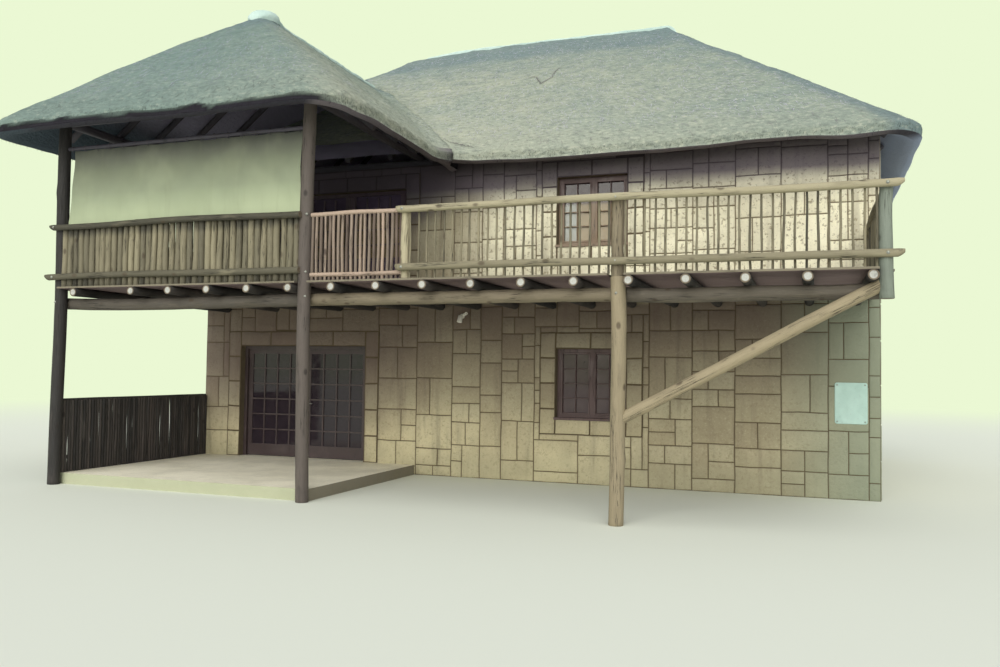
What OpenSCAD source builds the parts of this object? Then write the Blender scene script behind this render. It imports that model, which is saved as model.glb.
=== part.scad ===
// Two-storey thatched house with a pole balcony and a hipped wing roof over its left end.
// Millimetres. The origin is the centre of the main block at ground level.
// +X runs along the front wall to the right, +Y to the back, +Z up.

/* [House walls] */
// Length of the main block along the front
main_w = 12100; // [11500:100:13500]
// Depth of the main block, front to back
main_d = 7600; // [7000:100:8400]
// Thickness of the outer walls
wall_t = 250; // [220:10:330]
// Ground floor above the ground
floor_h = 170; // [120:10:300]
// Height from the ground floor to the upper floor
storey_h = 2900; // [2700:50:3200]
// Plaster band around doors and windows, width
band_w = 270; // [150:10:320]
// Plaster band, how far it stands proud of the wall
band_t = 18; // [8:1:40]

/* [Doors and windows] */
// Left edge of the ground floor doorway, from the left corner of the house
door_at = 810; // [600:10:1100]
// Width of the ground floor doorway
door_w = 2680; // [2300:20:2900]
// Height of door heads above their floor
door_h = 2100; // [2000:20:2250]
// Depth of a door or window frame, front to back
frame_d = 100; // [80:5:130]
// Width of a door or window frame's face
frame_w = 60; // [45:5:80]
// Setback of frames from the wall face
reveal = 120; // [60:5:120]
// Thickness of a door leaf
leaf_t = 44; // [38:1:54]
// Width of a door leaf's stiles and top rail
stile_w = 95; // [70:5:120]
// Height of a door leaf's bottom rail
bottom_rail_h = 220; // [160:10:260]
// Width of the glazing bars
bar_w = 26; // [18:1:34]
// Panes across each door leaf
pane_cols = 4; // [3:1:5]
// Panes up each door leaf
pane_rows = 6; // [4:1:7]
// Diameter of the door hinges' barrels
hinge_d = 14; // [12:1:20]
// Height of the door handle above the floor
handle_h = 1020; // [950:10:1100]
// Gap round each door leaf
leaf_gap = 6; // [5:0.5:10]
// Glass thickness
glass_t = 6; // [4:1:10]
// Left edge of the front windows, from the left corner of the house
window_at = 7080; // [6800:20:7300]
// Width of the windows
window_w = 1200; // [900:20:1300]
// Height of the windows
window_h = 1160; // [900:20:1260]
// Sill height above each floor
sill_h = 910; // [850:10:1000]
// Width of the upper door
upper_door_w = 2400; // [1800:20:2600]
// Right edge of the upper door, from the left corner of the house
upper_door_end = 4250; // [4100:10:4400]

/* [Deck] */
// Post line, from the front wall to the post centres
post_line = 3580; // [3200:20:4200]
// Diameter of the full height posts
post_d = 190; // [160:5:220]
// Middle post, from the left corner of the house
middle_post_at = 4470; // [4300:10:4700]
// Right post, from the left corner of the house
right_post_at = 8890; // [8700:10:9200]
// Diameter of the right post above the deck
upright_d = 150; // [120:5:170]
// Corner post, in from the right corner of the house
corner_post_in = 170; // [100:10:400]
// Diameter of the hanging corner post
corner_d = 160; // [150:5:180]
// Diameter of the deck joists
joist_d = 140; // [110:5:160]
// First joist, from the left post's centre
edge_joist_at = 480; // [300:10:600]
// Diameter of the front beam
beam_d = 180; // [160:5:210]
// Depth of the seats cut in the beam for the posts
beam_seat = 40; // [30:1:50]
// Thickness of the deck boards
board_t = 28; // [22:1:38]
// Width of the deck boards
board_w = 140; // [100:5:180]
// Gap between deck boards
board_gap = 5; // [3:1:10]
// Deck edge in front of the post line
deck_edge = 170; // [150:5:260]
// Diameter of the diagonal brace
brace_d = 150; // [110:5:170]
// Height of the brace's foot on the right post
brace_foot_h = 1270; // [900:10:1600]
// Raised concrete stoep, edge beside the middle post
stoep_edge = 30; // [0:5:60]

/* [Railings] */
// Top rail's centre above the deck
rail_h = 930; // [850:10:1100]
// Lower rail's centre above the deck
low_rail_h = 150; // [110:5:200]
// Diameter of the rails
rail_d = 95; // [70:5:110]
// Depth of the seats cut in the rails for the posts
rail_seat = 12; // [6:1:18]
// Diameter of the dense slats under the wing roof
slat_d = 86; // [60:2:96]
// Spacing of the dense slats
slat_pitch = 107; // [100:1:130]
// Start post of the open railing, from the left corner of the house
start_post_at = 6010; // [5800:10:6200]
// Diameter of the start post
start_post_d = 110; // [90:5:130]
// Diameter of the thin slats in the short middle railing
thin_slat_d = 42; // [30:2:50]
// Spacing of the thin slats
thin_slat_pitch = 68; // [60:1:80]
// Diameter of the balusters in the open railing
baluster_d = 42; // [30:2:56]
// Spacing of the balusters
baluster_pitch = 121; // [100:1:150]
// Length of rail past the left post, before its tip
left_rail_tail = 75; // [40:5:110]
// Length of rail past the corner post, before its tip
right_rail_tail = 25; // [10:5:60]
// Wall light, from the left corner of the house
light_at = 5380; // [4900:20:5900]
// Wall light, below the deck
light_drop = 270; // [200:10:500]
// Height of the stoep screen
screen_h = 1160; // [900:10:1400]
// Diameter of the screen's laths
lath_d = 46; // [30:2:56]
// Spacing of the screen's laths
lath_pitch = 58; // [57:1:70]

/* [Roof] */
// Slope of the thatch in degrees
pitch = 38.2; // [34:0.2:42]
// Thickness of the thatch, square to the slope
thatch_t = 250; // [200:10:320]
// Underside of the eaves above the deck
eave_above_deck = 2270; // [2040:10:2600]
// Radius of the rounded eave
nose_r = 150; // [110:5:150]
// Radius of the rounded ridge
ridge_r = 200; // [150:5:240]
// Overhang of the main roof at the front, back and right
eave_over = 600; // [450:10:700]
// Overhang of the wing roof past its post centres
wing_over = 850; // [700:10:950]
// How far the main ridge runs on past the left hip's even end
ridge_run_on = 1050; // [0:50:1300]
// Thickness of the mortar ridge cap
cap_t = 60; // [40:5:80]
// Diameter of the rafters
rafter_d = 110; // [90:5:130]
// Spacing of the rafters
rafter_pitch = 900; // [700:20:1200]
// Diameter of the wall plates and the wing's plates
plate_d = 140; // [110:5:150]
// The canvas blind's pole, below the eaves
blind_pole_drop = 80; // [60:5:300]
// Thickness of the canvas blind's solid
blind_t = 16; // [8:1:30]

/* [Hidden] */
$fn = 48;

// Corners of the house and the heights that pieces share
x0 = -main_w / 2;
y0 = -main_d / 2;
deck_z = floor_h + storey_h;
joist_flat = 6;
joist_top = deck_z - board_t;
joist_z = joist_top + joist_flat - joist_d / 2;
split_z = joist_z - joist_d / 2;
bearing = wall_t * 0.6;
pocket_gap = 3;
cut = 1;

post_gap = 5;

// Post, beam and rail lines
post_y = y0 - post_line;
post_front = post_y - post_d / 2;
upright_ledge = 5;
left_x = x0;
middle_x = x0 + middle_post_at;
right_x = x0 + right_post_at;
corner_x = x0 + main_w - corner_post_in;
start_x = x0 + start_post_at;
beam_housing = 12;
beam_y = post_y + post_d / 2 + beam_d / 2 - beam_seat;
beam_z = split_z + beam_housing - beam_d / 2;
deck_left = left_x - post_d / 2 - post_gap;
deck_right = corner_x + corner_d / 2 + 2 * post_gap;
deck_front = post_y - deck_edge;
joist_tail = 50;
joist_length = bearing + post_line + deck_edge + joist_tail;
rail_z = deck_z + rail_h;
low_rail_z = deck_z + low_rail_h;
rail_y = post_front - rail_d / 2 + rail_seat;
rail_tip = 60;
rail_tip_taper = 0.6;
post_head = rail_d / 4;
corner_post_tail = 20;

// Joists: one stands hard against the middle post's left side and one against the right
// post's right side, with even spacing between, and that spacing carries on both ways
beside_post = (post_d + joist_d) / 2 + post_gap;
joists_between_posts = 7;
joist_pitch = (right_x - middle_x + 2 * beside_post) / joists_between_posts;
joists_left = floor((middle_x - beside_post - left_x - edge_joist_at) / joist_pitch - 1);
joists_right = floor((deck_right - joist_d / 2 - right_x - beside_post) / joist_pitch);
joist_xs = concat(
    [left_x + edge_joist_at],
    [for (k = [-joists_left : joists_between_posts + joists_right])
        middle_x - beside_post + k * joist_pitch]
);

// Roof geometry: run is the level distance in from the centre of the rounded eave, and
// void_run is the run at which the thatch's underside reaches a height
eave_h = deck_z + eave_above_deck;
nose_z = eave_h + nose_r;
slope = tan(pitch);
thatch_up = thatch_t / cos(pitch);
rafter_up = rafter_d / cos(pitch);
tail_run = 200;
ridge_gap = 60;
hip_ridge_gap = 160;
jack_gap = 2 * rafter_d;
function top_z(run) = nose_z + nose_r / cos(pitch) + slope * run;
function under_z(run) = top_z(run) - thatch_up;
function void_run(z) = (z - under_z(0)) / slope;
function rafter_under_z(run) = under_z(run) - rafter_up;
function rafter_z(run) = under_z(run) - rafter_up / 2;

eave_step = 40;
hip_extra = 6;
main_nose_y = main_d / 2 + eave_over - nose_r;
main_nose_right = main_w / 2 + eave_over - nose_r;
main_nose_left = x0 - wing_over - eave_step + nose_r;
main_ridge_z = top_z(main_nose_y) - ridge_r / cos(pitch);
main_ridge_right = main_nose_right - main_nose_y;
main_ridge_left = main_nose_left + main_nose_y - ridge_run_on;

wing_x = (left_x + middle_x) / 2;
wing_half = (middle_x - left_x) / 2 + wing_over - nose_r;
wing_nose_front = post_y - wing_over + nose_r;
wing_ridge_z = top_z(wing_half) - ridge_r / cos(pitch);
wing_ridge_front = wing_nose_front + wing_half;
wing_ridge_back = -main_nose_y + wing_half;
main_hip_line = main_nose_right - hip_extra;
wing_hip_line = wing_nose_front + hip_extra;
wing_run_in = 500;
arc_step = 15;
full_turn = 360;

// The steeper left slope of the main roof, from the eave's circle to the ridge's circle
left_rise = main_ridge_z - nose_z;
left_run = main_ridge_left - main_nose_left;
left_pitch = atan2(left_rise, left_run)
    + asin((ridge_r - nose_r) / norm([left_run, left_rise]));

slope_of_left = tan(left_pitch);

// Where the underside of the steeper left slope is, at a height
function left_void_x(z) = main_nose_left
    + (cos(left_pitch) * (z - nose_z) - nose_r + thatch_t) / sin(left_pitch);

// The run in on the left slope where its rafters are as high as the front's are at their run,
// and the front's run at which the left hip crosses a place along the house
left_rafter_drop = (nose_r - thatch_t - rafter_d / 2) / cos(left_pitch);
function left_run_at(run) = (rafter_z(run) - nose_z - left_rafter_drop) / slope_of_left;
function left_rafter_z(run) = nose_z + slope_of_left * run + left_rafter_drop;
function hip_run_at(x) = (left_rafter_z(x - main_nose_left) - rafter_z(0)) / slope;

// Heights where plates carry the rafters
wall_mid = wall_t / 2;
main_plate_z = rafter_under_z(main_nose_y - main_d / 2 + wall_mid)
    - plate_d / 2 / cos(pitch);
wall_top = main_plate_z - plate_d / 2;
left_plate_run = x0 + wall_mid - main_nose_left;
left_plate_z = nose_z + slope_of_left * left_plate_run
    + (nose_r - thatch_t - rafter_d - plate_d / 2) / cos(left_pitch);
left_wall_top = left_plate_z - plate_d / 2;
left_plate_end = main_nose_y - void_run(left_plate_z + plate_d / 2) - post_gap;
wing_plate_z = rafter_under_z(wing_over - nose_r) - plate_d / 2 / cos(pitch);
wing_space_back = -main_nose_y + void_run(wing_plate_z + plate_d / 2) + pocket_gap;
plate_tail = 60;
plate_inset = 10;

// Openings in the walls
door_x = x0 + door_at;
door_head = floor_h + door_h;
upper_door_less = 60;
upper_door_h = door_h - upper_door_less;
upper_door_x = x0 + upper_door_end - upper_door_w;
window_x = x0 + window_at;
ground_sill = floor_h + sill_h;
upper_sill = deck_z + sill_h;
frame_y = y0 + reveal;
rear_window_xs = [-main_w / 4 - window_w / 2, main_w / 4 - window_w / 2];
side_window_x = -window_w / 2;

// Door leaves: they shut against a stop on the outer part of the frame and open inward
stop_w = 12;
stop_gap = 5;
floor_gap = 10;
glass_tuck = 8;
mullion_w = 70;
jamb_face = frame_w - stop_w;
leaf_w = (door_w - 2 * jamb_face - 3 * leaf_gap) / 2;
leaf_h = door_h - jamb_face - leaf_gap - floor_gap;
leaf_z = floor_h + floor_gap;
leaf_y = frame_y + frame_d - leaf_t;
left_leaf_x = door_x + jamb_face + leaf_gap;
right_leaf_x = left_leaf_x + leaf_w + leaf_gap;
panes_w = leaf_w - 2 * stile_w;
panes_h = leaf_h - stile_w - bottom_rail_h;
pane_w = (panes_w - (pane_cols - 1) * bar_w) / pane_cols;
pane_h = (panes_h - (pane_rows - 1) * bar_w) / pane_rows;
upper_leaf_w = (upper_door_w - 2 * frame_w) / 2;
hinge_h = 100;
hinge_sink = 1;
hinge_y = leaf_y + leaf_t + hinge_d / 2 - hinge_sink;
hinge_zs = [for (share = [0.1, 0.5, 0.9]) leaf_z + share * leaf_h - hinge_h / 2];

// Canvas blind and the pole it hangs from
blind_pole_d = 60;
blind_pole_z = eave_h - blind_pole_drop;
blind_low = rail_z + rail_d / 2 + post_gap;
blind_h = blind_pole_z - blind_pole_d / 2 - blind_low;
blind_side_gap = 12;

// Short railing's slender rails
small_rail_d = 62;
small_low_h = 90;
small_low_z = deck_z + small_low_h;
slat_seat = 8;

CLADDING = "#b3a67c";
DARK_WOOD = "#3d3033";
GLASS = "#7d8c85";
POLE = "#8a8068";
STRAW_POLE = "#b3a37c";
GREY_POLE = "#635d57";
RED_POLE = "#a07058";
BOARDS = "#6e6354";
THATCH = "#8f9f8f";
MORTAR = "#c4dccf";
CONCRETE = "#9b968a";
CANVAS = "#a9b184";
METAL = "#8f8f8a";

// A block given by its lowest corner and its size
module block(x, y, z, w, d, h) {
    translate([x, y, z])
        cube([w, d, h]);
}

// A round pole from one point to another
module pole(from, to, d) {
    v = to - from;
    translate(from)
        rotate([0, acos(v.z / norm(v)), atan2(v.y, v.x)])
            cylinder(d = d, h = norm(v));
}

// Turns what is drawn on the front wall's face to another wall of the house
module on_rear() {
    rotate([0, 0, 180])
        children();
}

module on_right() {
    rotate([0, 0, 90])
        translate([0, -main_w / 2 - y0, 0])
            children();
}

module on_left() {
    rotate([0, 0, -90])
        translate([0, -main_w / 2 - y0, 0])
            children();
}

// The hole of a window, right through a front wall
module window_hole(x, z) {
    block(x, y0 - cut, z, window_w, wall_t + 2 * cut, window_h);
}

// A plaster band round an opening, standing proud of the wall face
module band(x, z, w, h, low) {
    difference() {
        block(x - band_w, y0 - band_t, z - low, w + 2 * band_w, band_t, h + low + band_w);
        block(x, y0 - band_t - cut, z - (low > 0 ? 0 : cut), w, band_t + 2 * cut,
            h + (low > 0 ? 0 : cut));
    }
}

module window_band(x, z) {
    band(x, z, window_w, window_h, band_w);
}

// What stands on the front face between two heights and two sides
module front_bands(x, z, w, h) {
    intersection() {
        union() {
            band(door_x, floor_h, door_w, door_h, 0);
            band(upper_door_x, deck_z, upper_door_w, upper_door_h, 0);
            window_band(window_x, ground_sill);
            window_band(window_x, upper_sill);
        }
        block(x, y0 - band_t - cut, z, w, band_t + 2 * cut, h);
    }
}

// A window: one frame with a mullion, grooved all round for a sheet of glass
module window_frame(x, z) {
    light_w = (window_w - 2 * frame_w - mullion_w) / 2;
    difference() {
        block(x, frame_y, z, window_w, frame_d, window_h);
        for (i = [0, 1])
            block(x + frame_w + i * (light_w + mullion_w), frame_y - cut, z + frame_w,
                light_w, frame_d + 2 * cut, window_h - 2 * frame_w);
        window_glass(x, z);
    }
}

module window_glass(x, z) {
    block(x + frame_w - glass_tuck, frame_y + frame_d / 2 - glass_t / 2,
        z + frame_w - glass_tuck, window_w - 2 * (frame_w - glass_tuck), glass_t,
        window_h - 2 * (frame_w - glass_tuck));
}

// One door leaf with its grid of panes and the hinge barrels on one edge
module leaf(x, hinge_x) {
    for (z = hinge_zs)
        translate([hinge_x, hinge_y, z])
            cylinder(d = hinge_d, h = hinge_h);
    difference() {
        block(x, leaf_y, leaf_z, leaf_w, leaf_t, leaf_h);
        for (i = [0 : pane_cols - 1])
            for (j = [0 : pane_rows - 1])
                block(x + stile_w + i * (pane_w + bar_w), leaf_y - cut,
                    leaf_z + bottom_rail_h + j * (pane_h + bar_w),
                    pane_w, leaf_t + 2 * cut, pane_h);
        leaf_glass(x);
    }
}

module leaf_glass(x) {
    block(x + stile_w - glass_tuck, leaf_y + leaf_t / 2 - glass_t / 2,
        leaf_z + bottom_rail_h - glass_tuck,
        panes_w + 2 * glass_tuck, glass_t, panes_h + 2 * glass_tuck);
}

// Floors
module floor_slab() {
    color(CONCRETE) {
        block(x0 + wall_t, y0 + wall_t, 0, main_w - 2 * wall_t, main_d - 2 * wall_t, floor_h);
        block(door_x, y0, 0, door_w, wall_t + cut, floor_h);
    }
}

module stoep_slab() {
    front = post_y + post_d / 2 + post_gap;
    color(CONCRETE)
        block(left_x - post_d / 2, front, 0,
            middle_x + stoep_edge - left_x + post_d / 2, y0 - front, floor_h);
}

module upper_floor() {
    color(CONCRETE)
        block(x0 + wall_t, y0 + wall_t, split_z, main_w - 2 * wall_t,
            main_d - 2 * wall_t, deck_z - split_z);
}

// Walls
module front_wall_left() {
    color(CLADDING) {
        block(x0, y0, 0, door_at, wall_t, split_z);
        front_bands(x0, 0, door_at, split_z);
    }
}

module front_wall_over_door() {
    color(CLADDING) {
        block(door_x, y0, door_head, door_w, wall_t, split_z - door_head);
        front_bands(door_x, door_head, door_w, split_z - door_head);
    }
}

module front_wall_right() {
    start = door_x + door_w;
    width = x0 + main_w - start;
    color(CLADDING) {
        difference() {
            block(start, y0, 0, width, wall_t, split_z);
            window_hole(window_x, ground_sill);
        }
        front_bands(start, 0, width, split_z);
    }
}

module upper_front_wall() {
    color(CLADDING) {
        difference() {
            block(x0, y0, split_z, main_w, wall_t, wall_top - split_z);
            window_hole(window_x, upper_sill);
            block(upper_door_x, y0 - cut, deck_z, upper_door_w, wall_t + 2 * cut, upper_door_h);
            for (x = joist_xs)
                translate([x, y0 + bearing + pocket_gap, joist_z])
                    rotate([90, 0, 0])
                        cylinder(d = joist_d + 2 * pocket_gap, h = bearing + pocket_gap + cut);
        }
        front_bands(x0, split_z, main_w, wall_top - split_z);
    }
}

// A side wall, drawn on the front face and as tall as given
module side_wall(top) {
    inner_w = main_d - 2 * wall_t;
    difference() {
        block(-inner_w / 2, y0, 0, inner_w, wall_t, top);
        window_hole(side_window_x, ground_sill);
        window_hole(side_window_x, upper_sill);
    }
    window_band(side_window_x, ground_sill);
    window_band(side_window_x, upper_sill);
}

module left_wall() {
    color(CLADDING)
        difference() {
            on_left()
                side_wall(left_wall_top);
            main_thatch();
        }
}

module right_wall() {
    color(CLADDING)
        on_right()
            side_wall(wall_top);
}

module rear_wall() {
    color(CLADDING)
        on_rear() {
            difference() {
                block(x0, y0, 0, main_w, wall_t, wall_top);
                for (x = rear_window_xs) {
                    window_hole(x, ground_sill);
                    window_hole(x, upper_sill);
                }
            }
            for (x = rear_window_xs) {
                window_band(x, ground_sill);
                window_band(x, upper_sill);
            }
        }
}

// Ground floor door
module door_frame() {
    color(DARK_WOOD)
        difference() {
            block(door_x, frame_y, floor_h, door_w, frame_d, door_h);
            block(door_x + frame_w, frame_y - cut, floor_h - cut,
                door_w - 2 * frame_w, frame_d + 2 * cut, door_h - frame_w + cut);
            block(door_x + jamb_face, leaf_y - stop_gap, floor_h - cut,
                door_w - 2 * jamb_face, leaf_t + stop_gap + cut, door_h - jamb_face + cut);
        }
}

module door_leaf_left() {
    color(DARK_WOOD)
        leaf(left_leaf_x, left_leaf_x);
}

module door_glass_left() {
    color(GLASS)
        leaf_glass(left_leaf_x);
}

module door_leaf_right() {
    color(DARK_WOOD)
        leaf(right_leaf_x, right_leaf_x + leaf_w);
}

module door_glass_right() {
    color(GLASS)
        leaf_glass(right_leaf_x);
}

// The lever handles on both faces of the right leaf, beside the edge where the leaves meet
module door_handle() {
    plate_w = 38;
    plate_t = 8;
    plate_h = 220;
    neck_d = 13;
    neck_l = 45;
    lever_d = 16;
    lever_l = 115;
    lever_tail = 12;
    x = right_leaf_x + stile_w / 2;
    z = floor_h + handle_h;
    color(METAL)
        for (face = [[leaf_y, -1], [leaf_y + leaf_t, 1]])
            translate([x, face[0], z])
                scale([1, face[1], 1]) {
                    block(-plate_w / 2, 0, -plate_h * 2 / 3, plate_w, plate_t, plate_h);
                    pole([0, plate_t / 2, 0], [0, plate_t + neck_l, 0], neck_d);
                    pole([-lever_tail, plate_t + neck_l, 0], [lever_l, plate_t + neck_l, 0], lever_d);
                }
}

// Upper door: two fixed lights over a low rail
module upper_door_frame() {
    light_w = upper_leaf_w - mullion_w;
    color(DARK_WOOD)
        difference() {
            block(upper_door_x, frame_y, deck_z, upper_door_w, frame_d, upper_door_h);
            for (i = [0, 1])
                block(upper_door_x + frame_w + mullion_w / 2 + i * upper_leaf_w,
                    frame_y - cut, deck_z + bottom_rail_h,
                    light_w, frame_d + 2 * cut, upper_door_h - bottom_rail_h - frame_w);
            upper_door_glass_sheet();
        }
}

module upper_door_glass_sheet() {
    inset = frame_w + mullion_w / 2 - glass_tuck;
    block(upper_door_x + inset, frame_y + frame_d / 2 - glass_t / 2,
        deck_z + bottom_rail_h - glass_tuck, upper_door_w - 2 * inset, glass_t,
        upper_door_h - bottom_rail_h - frame_w + 2 * glass_tuck);
}

module upper_door_glass() {
    color(GLASS)
        upper_door_glass_sheet();
}

// Windows
module front_window_frames() {
    color(DARK_WOOD)
        for (z = [ground_sill, upper_sill])
            window_frame(window_x, z);
}

module front_window_glass() {
    color(GLASS)
        for (z = [ground_sill, upper_sill])
            window_glass(window_x, z);
}

module side_window_frames() {
    color(DARK_WOOD)
        for (z = [ground_sill, upper_sill]) {
            on_left()
                window_frame(side_window_x, z);
            on_right()
                window_frame(side_window_x, z);
        }
}

module side_window_glass() {
    color(GLASS)
        for (z = [ground_sill, upper_sill]) {
            on_left()
                window_glass(side_window_x, z);
            on_right()
                window_glass(side_window_x, z);
        }
}

module rear_window_frames() {
    color(DARK_WOOD)
        on_rear()
            for (x = rear_window_xs)
                for (z = [ground_sill, upper_sill])
                    window_frame(x, z);
}

module rear_window_glass() {
    color(GLASS)
        on_rear()
            for (x = rear_window_xs)
                for (z = [ground_sill, upper_sill])
                    window_glass(x, z);
}

// Posts, each shown by its round outline so that what meets it can be cut to it
module left_post_round(extra = 0) {
    translate([left_x, post_y, 0])
        cylinder(d = post_d + 2 * extra, h = wing_plate_z);
}

module middle_post_round(extra = 0) {
    translate([middle_x, post_y, 0])
        cylinder(d = post_d + 2 * extra, h = wing_plate_z);
}

module right_post_round(extra = 0) {
    translate([right_x, post_y, 0])
        cylinder(d = post_d + 2 * extra, h = joist_top);
    translate([right_x, post_front + upright_ledge + upright_d / 2, joist_top - cut])
        cylinder(d = upright_d + 2 * extra, h = rail_z + post_head - joist_top + cut);
}

module corner_post_round(extra = 0) {
    low = beam_z - beam_d / 2 - corner_post_tail;
    translate([corner_x, post_front + corner_d / 2, low])
        cylinder(d = corner_d + 2 * extra, h = rail_z + post_head - low);
}

module start_post_round(extra = 0) {
    translate([start_x, post_front + start_post_d / 2, deck_z])
        cylinder(d = start_post_d + 2 * extra, h = rail_z + post_head - deck_z);
}

module all_posts(extra = 0) {
    left_post_round(extra);
    middle_post_round(extra);
    right_post_round(extra);
    corner_post_round(extra);
    start_post_round(extra);
}

module left_post() {
    color(GREY_POLE)
        difference() {
            left_post_round();
            wing_plate_poles();
        }
}

module middle_post() {
    color(GREY_POLE)
        difference() {
            middle_post_round();
            wing_plate_poles();
        }
}

module right_post() {
    color(POLE)
        right_post_round();
}

module corner_post() {
    color(POLE)
        corner_post_round();
}

module start_post() {
    color(STRAW_POLE)
        start_post_round();
}

// The diagonal pole that props the beam's free end from the right post
module brace_round() {
    pole([right_x, post_y, brace_foot_h], [corner_x, post_y, split_z], brace_d);
}

module brace() {
    color(POLE)
        difference() {
            brace_round();
            right_post_round();
            corner_post_round();
            for (x = joist_xs)
                joist_round(x);
        }
}

// Deck
module joist_round(x) {
    translate([x, y0 + bearing, joist_z])
        rotate([90, 0, 0])
            cylinder(d = joist_d, h = joist_length);
}

module deck_joists() {
    color(GREY_POLE)
        difference() {
            for (x = joist_xs)
                joist_round(x);
            block(deck_left - beam_d, y0 + bearing - joist_length - cut, joist_top,
                main_w + 2 * beam_d, joist_length + 2 * cut, joist_flat + cut);
        }
}

module front_beam() {
    color(POLE)
        difference() {
            translate([left_x - post_d / 2, beam_y, beam_z])
                rotate([0, 90, 0])
                    cylinder(d = beam_d, h = corner_x - left_x + post_d / 2 + corner_d / 2);
            all_posts();
            brace_round();
            for (x = joist_xs)
                joist_round(x);
        }
}

module deck_boards() {
    back = y0 - post_gap;
    rows = ceil((back - deck_front) / (board_w + board_gap));
    color(BOARDS)
        difference() {
            for (i = [0 : rows - 1])
                block(deck_left, deck_front + i * (board_w + board_gap), joist_top,
                    deck_right - deck_left,
                    min(board_w, back - deck_front - i * (board_w + board_gap)), board_t);
            left_post_round(post_gap);
            middle_post_round(post_gap);
            right_post_round(post_gap);
            corner_post_round(post_gap);
        }
}

// A rail along the front with a tapered tip at each free end
module front_rail(from, to, z, tip_left, tip_right) {
    translate([from, rail_y, z])
        rotate([0, 90, 0])
            cylinder(d = rail_d, h = to - from);
    if (tip_left)
        translate([from, rail_y, z])
            rotate([0, -90, 0])
                cylinder(d1 = rail_d, d2 = rail_d * rail_tip_taper, h = rail_tip);
    if (tip_right)
        translate([to, rail_y, z])
            rotate([0, 90, 0])
                cylinder(d1 = rail_d, d2 = rail_d * rail_tip_taper, h = rail_tip);
}

// Upright slats behind the front rails, evenly spread between two places
module front_slats(from, to, d, spacing) {
    count = floor((to - from - d) / spacing);
    step = (to - from - d) / count;
    for (i = [0 : count])
        translate([from + d / 2 + i * step, rail_y + rail_d / 2 - slat_seat + d / 2, deck_z])
            cylinder(d = d, h = rail_h + post_head);
}

// Rails and slats in one line, along X from one place to another
module inline_railing(length, rail_size, low_z, d, spacing) {
    count = floor((length - d - 2 * post_gap) / spacing);
    step = (length - d - 2 * post_gap) / count;
    for (z = [low_z, rail_z])
        translate([0, 0, z])
            rotate([0, 90, 0])
                cylinder(d = rail_size, h = length);
    for (i = [0 : count])
        translate([post_gap + d / 2 + i * step, 0, deck_z])
            cylinder(d = d, h = rail_h);
}

module front_left_railing() {
    color(STRAW_POLE)
        difference() {
            union() {
                for (z = [low_rail_z, rail_z])
                    front_rail(left_x - post_d / 2 - left_rail_tail, middle_x - post_d / 4, z,
                        true, false);
                front_slats(left_x + post_d / 2 + post_gap, middle_x - post_d / 2 - post_gap,
                    slat_d, slat_pitch);
            }
            all_posts();
        }
}

module left_side_railing() {
    front = post_y + post_d / 2 - rail_seat;
    color(STRAW_POLE)
        difference() {
            translate([left_x, front, 0])
                rotate([0, 0, 90])
                    inline_railing(y0 - front, rail_d, low_rail_z, slat_d, slat_pitch);
            left_post_round();
        }
}

module front_middle_railing() {
    from = middle_x + post_d / 2 - rail_seat;
    to = start_x - start_post_d / 2 + rail_seat;
    color(RED_POLE)
        difference() {
            translate([from, post_front + start_post_d / 2, 0])
                inline_railing(to - from, small_rail_d, small_low_z, thin_slat_d,
                    thin_slat_pitch);
            middle_post_round();
            start_post_round();
        }
}

module front_right_railing() {
    upright_clear = upright_d / 2 + post_gap;
    color(STRAW_POLE)
        difference() {
            union() {
                for (z = [low_rail_z, rail_z])
                    front_rail(start_x - start_post_d / 2,
                        corner_x + corner_d / 2 + right_rail_tail, z, true, true);
                front_slats(start_x + start_post_d / 2 + post_gap, right_x - upright_clear,
                    baluster_d, baluster_pitch);
                front_slats(right_x + upright_clear, corner_x - corner_d / 2 - post_gap,
                    baluster_d, baluster_pitch);
            }
            right_post_round();
            corner_post_round();
            start_post_round();
        }
}

module right_end_railing() {
    front = post_front + corner_d - rail_seat;
    color(STRAW_POLE)
        difference() {
            translate([corner_x, front, 0])
                rotate([0, 0, 90])
                    inline_railing(y0 - front, rail_d, low_rail_z, baluster_d,
                        baluster_pitch);
            corner_post_round();
        }
}

// The lath screen that shuts the stoep's left side
module stoep_screen() {
    front = post_y + post_d / 2 - rail_seat;
    first = post_y + post_d / 2 + post_gap + lath_d / 2;
    count = floor((y0 - post_gap - lath_d / 2 - first) / lath_pitch);
    low_share = 0.2;
    color(GREY_POLE)
        difference() {
            union() {
                for (z = [floor_h + screen_h * low_share, floor_h + screen_h - small_rail_d / 2])
                    pole([left_x, front, z], [left_x, y0, z], small_rail_d);
                for (i = [0 : count])
                    translate([left_x + small_rail_d / 2, first + i * lath_pitch, floor_h])
                        cylinder(d = lath_d, h = screen_h - small_rail_d / 2);
            }
            left_post_round();
        }
}

// Canvas blind and its pole
module blind_pole() {
    color(POLE)
        difference() {
            pole([left_x, post_y, blind_pole_z], [middle_x, post_y, blind_pole_z],
                blind_pole_d);
            left_post_round();
            middle_post_round();
        }
}

module canvas_blind() {
    side = post_d / 2 + blind_side_gap;
    color(CANVAS)
        block(left_x + side, post_y - blind_t / 2, blind_low,
            middle_x - left_x - 2 * side, blind_t, blind_h);
}

// An outline round a row of circles, each given as [across, up, radius], taken anticlockwise:
// where the straight side from one circle to the next leaves it, and the arc between two sides
function side_angle(a, b) = atan2(b.y - a.y, b.x - a.x) - 90
    + asin((a.z - b.z) / norm([b.x - a.x, b.y - a.y]));

function corner_arc(before, at, after) =
    let (start = side_angle(before, at),
        turn = (side_angle(at, after) - start + 2 * full_turn) % full_turn,
        steps = ceil(turn / arc_step))
    [for (k = [0 : steps])
        [at.x + at.z * cos(start + turn * k / steps), at.y + at.z * sin(start + turn * k / steps)]];

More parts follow.
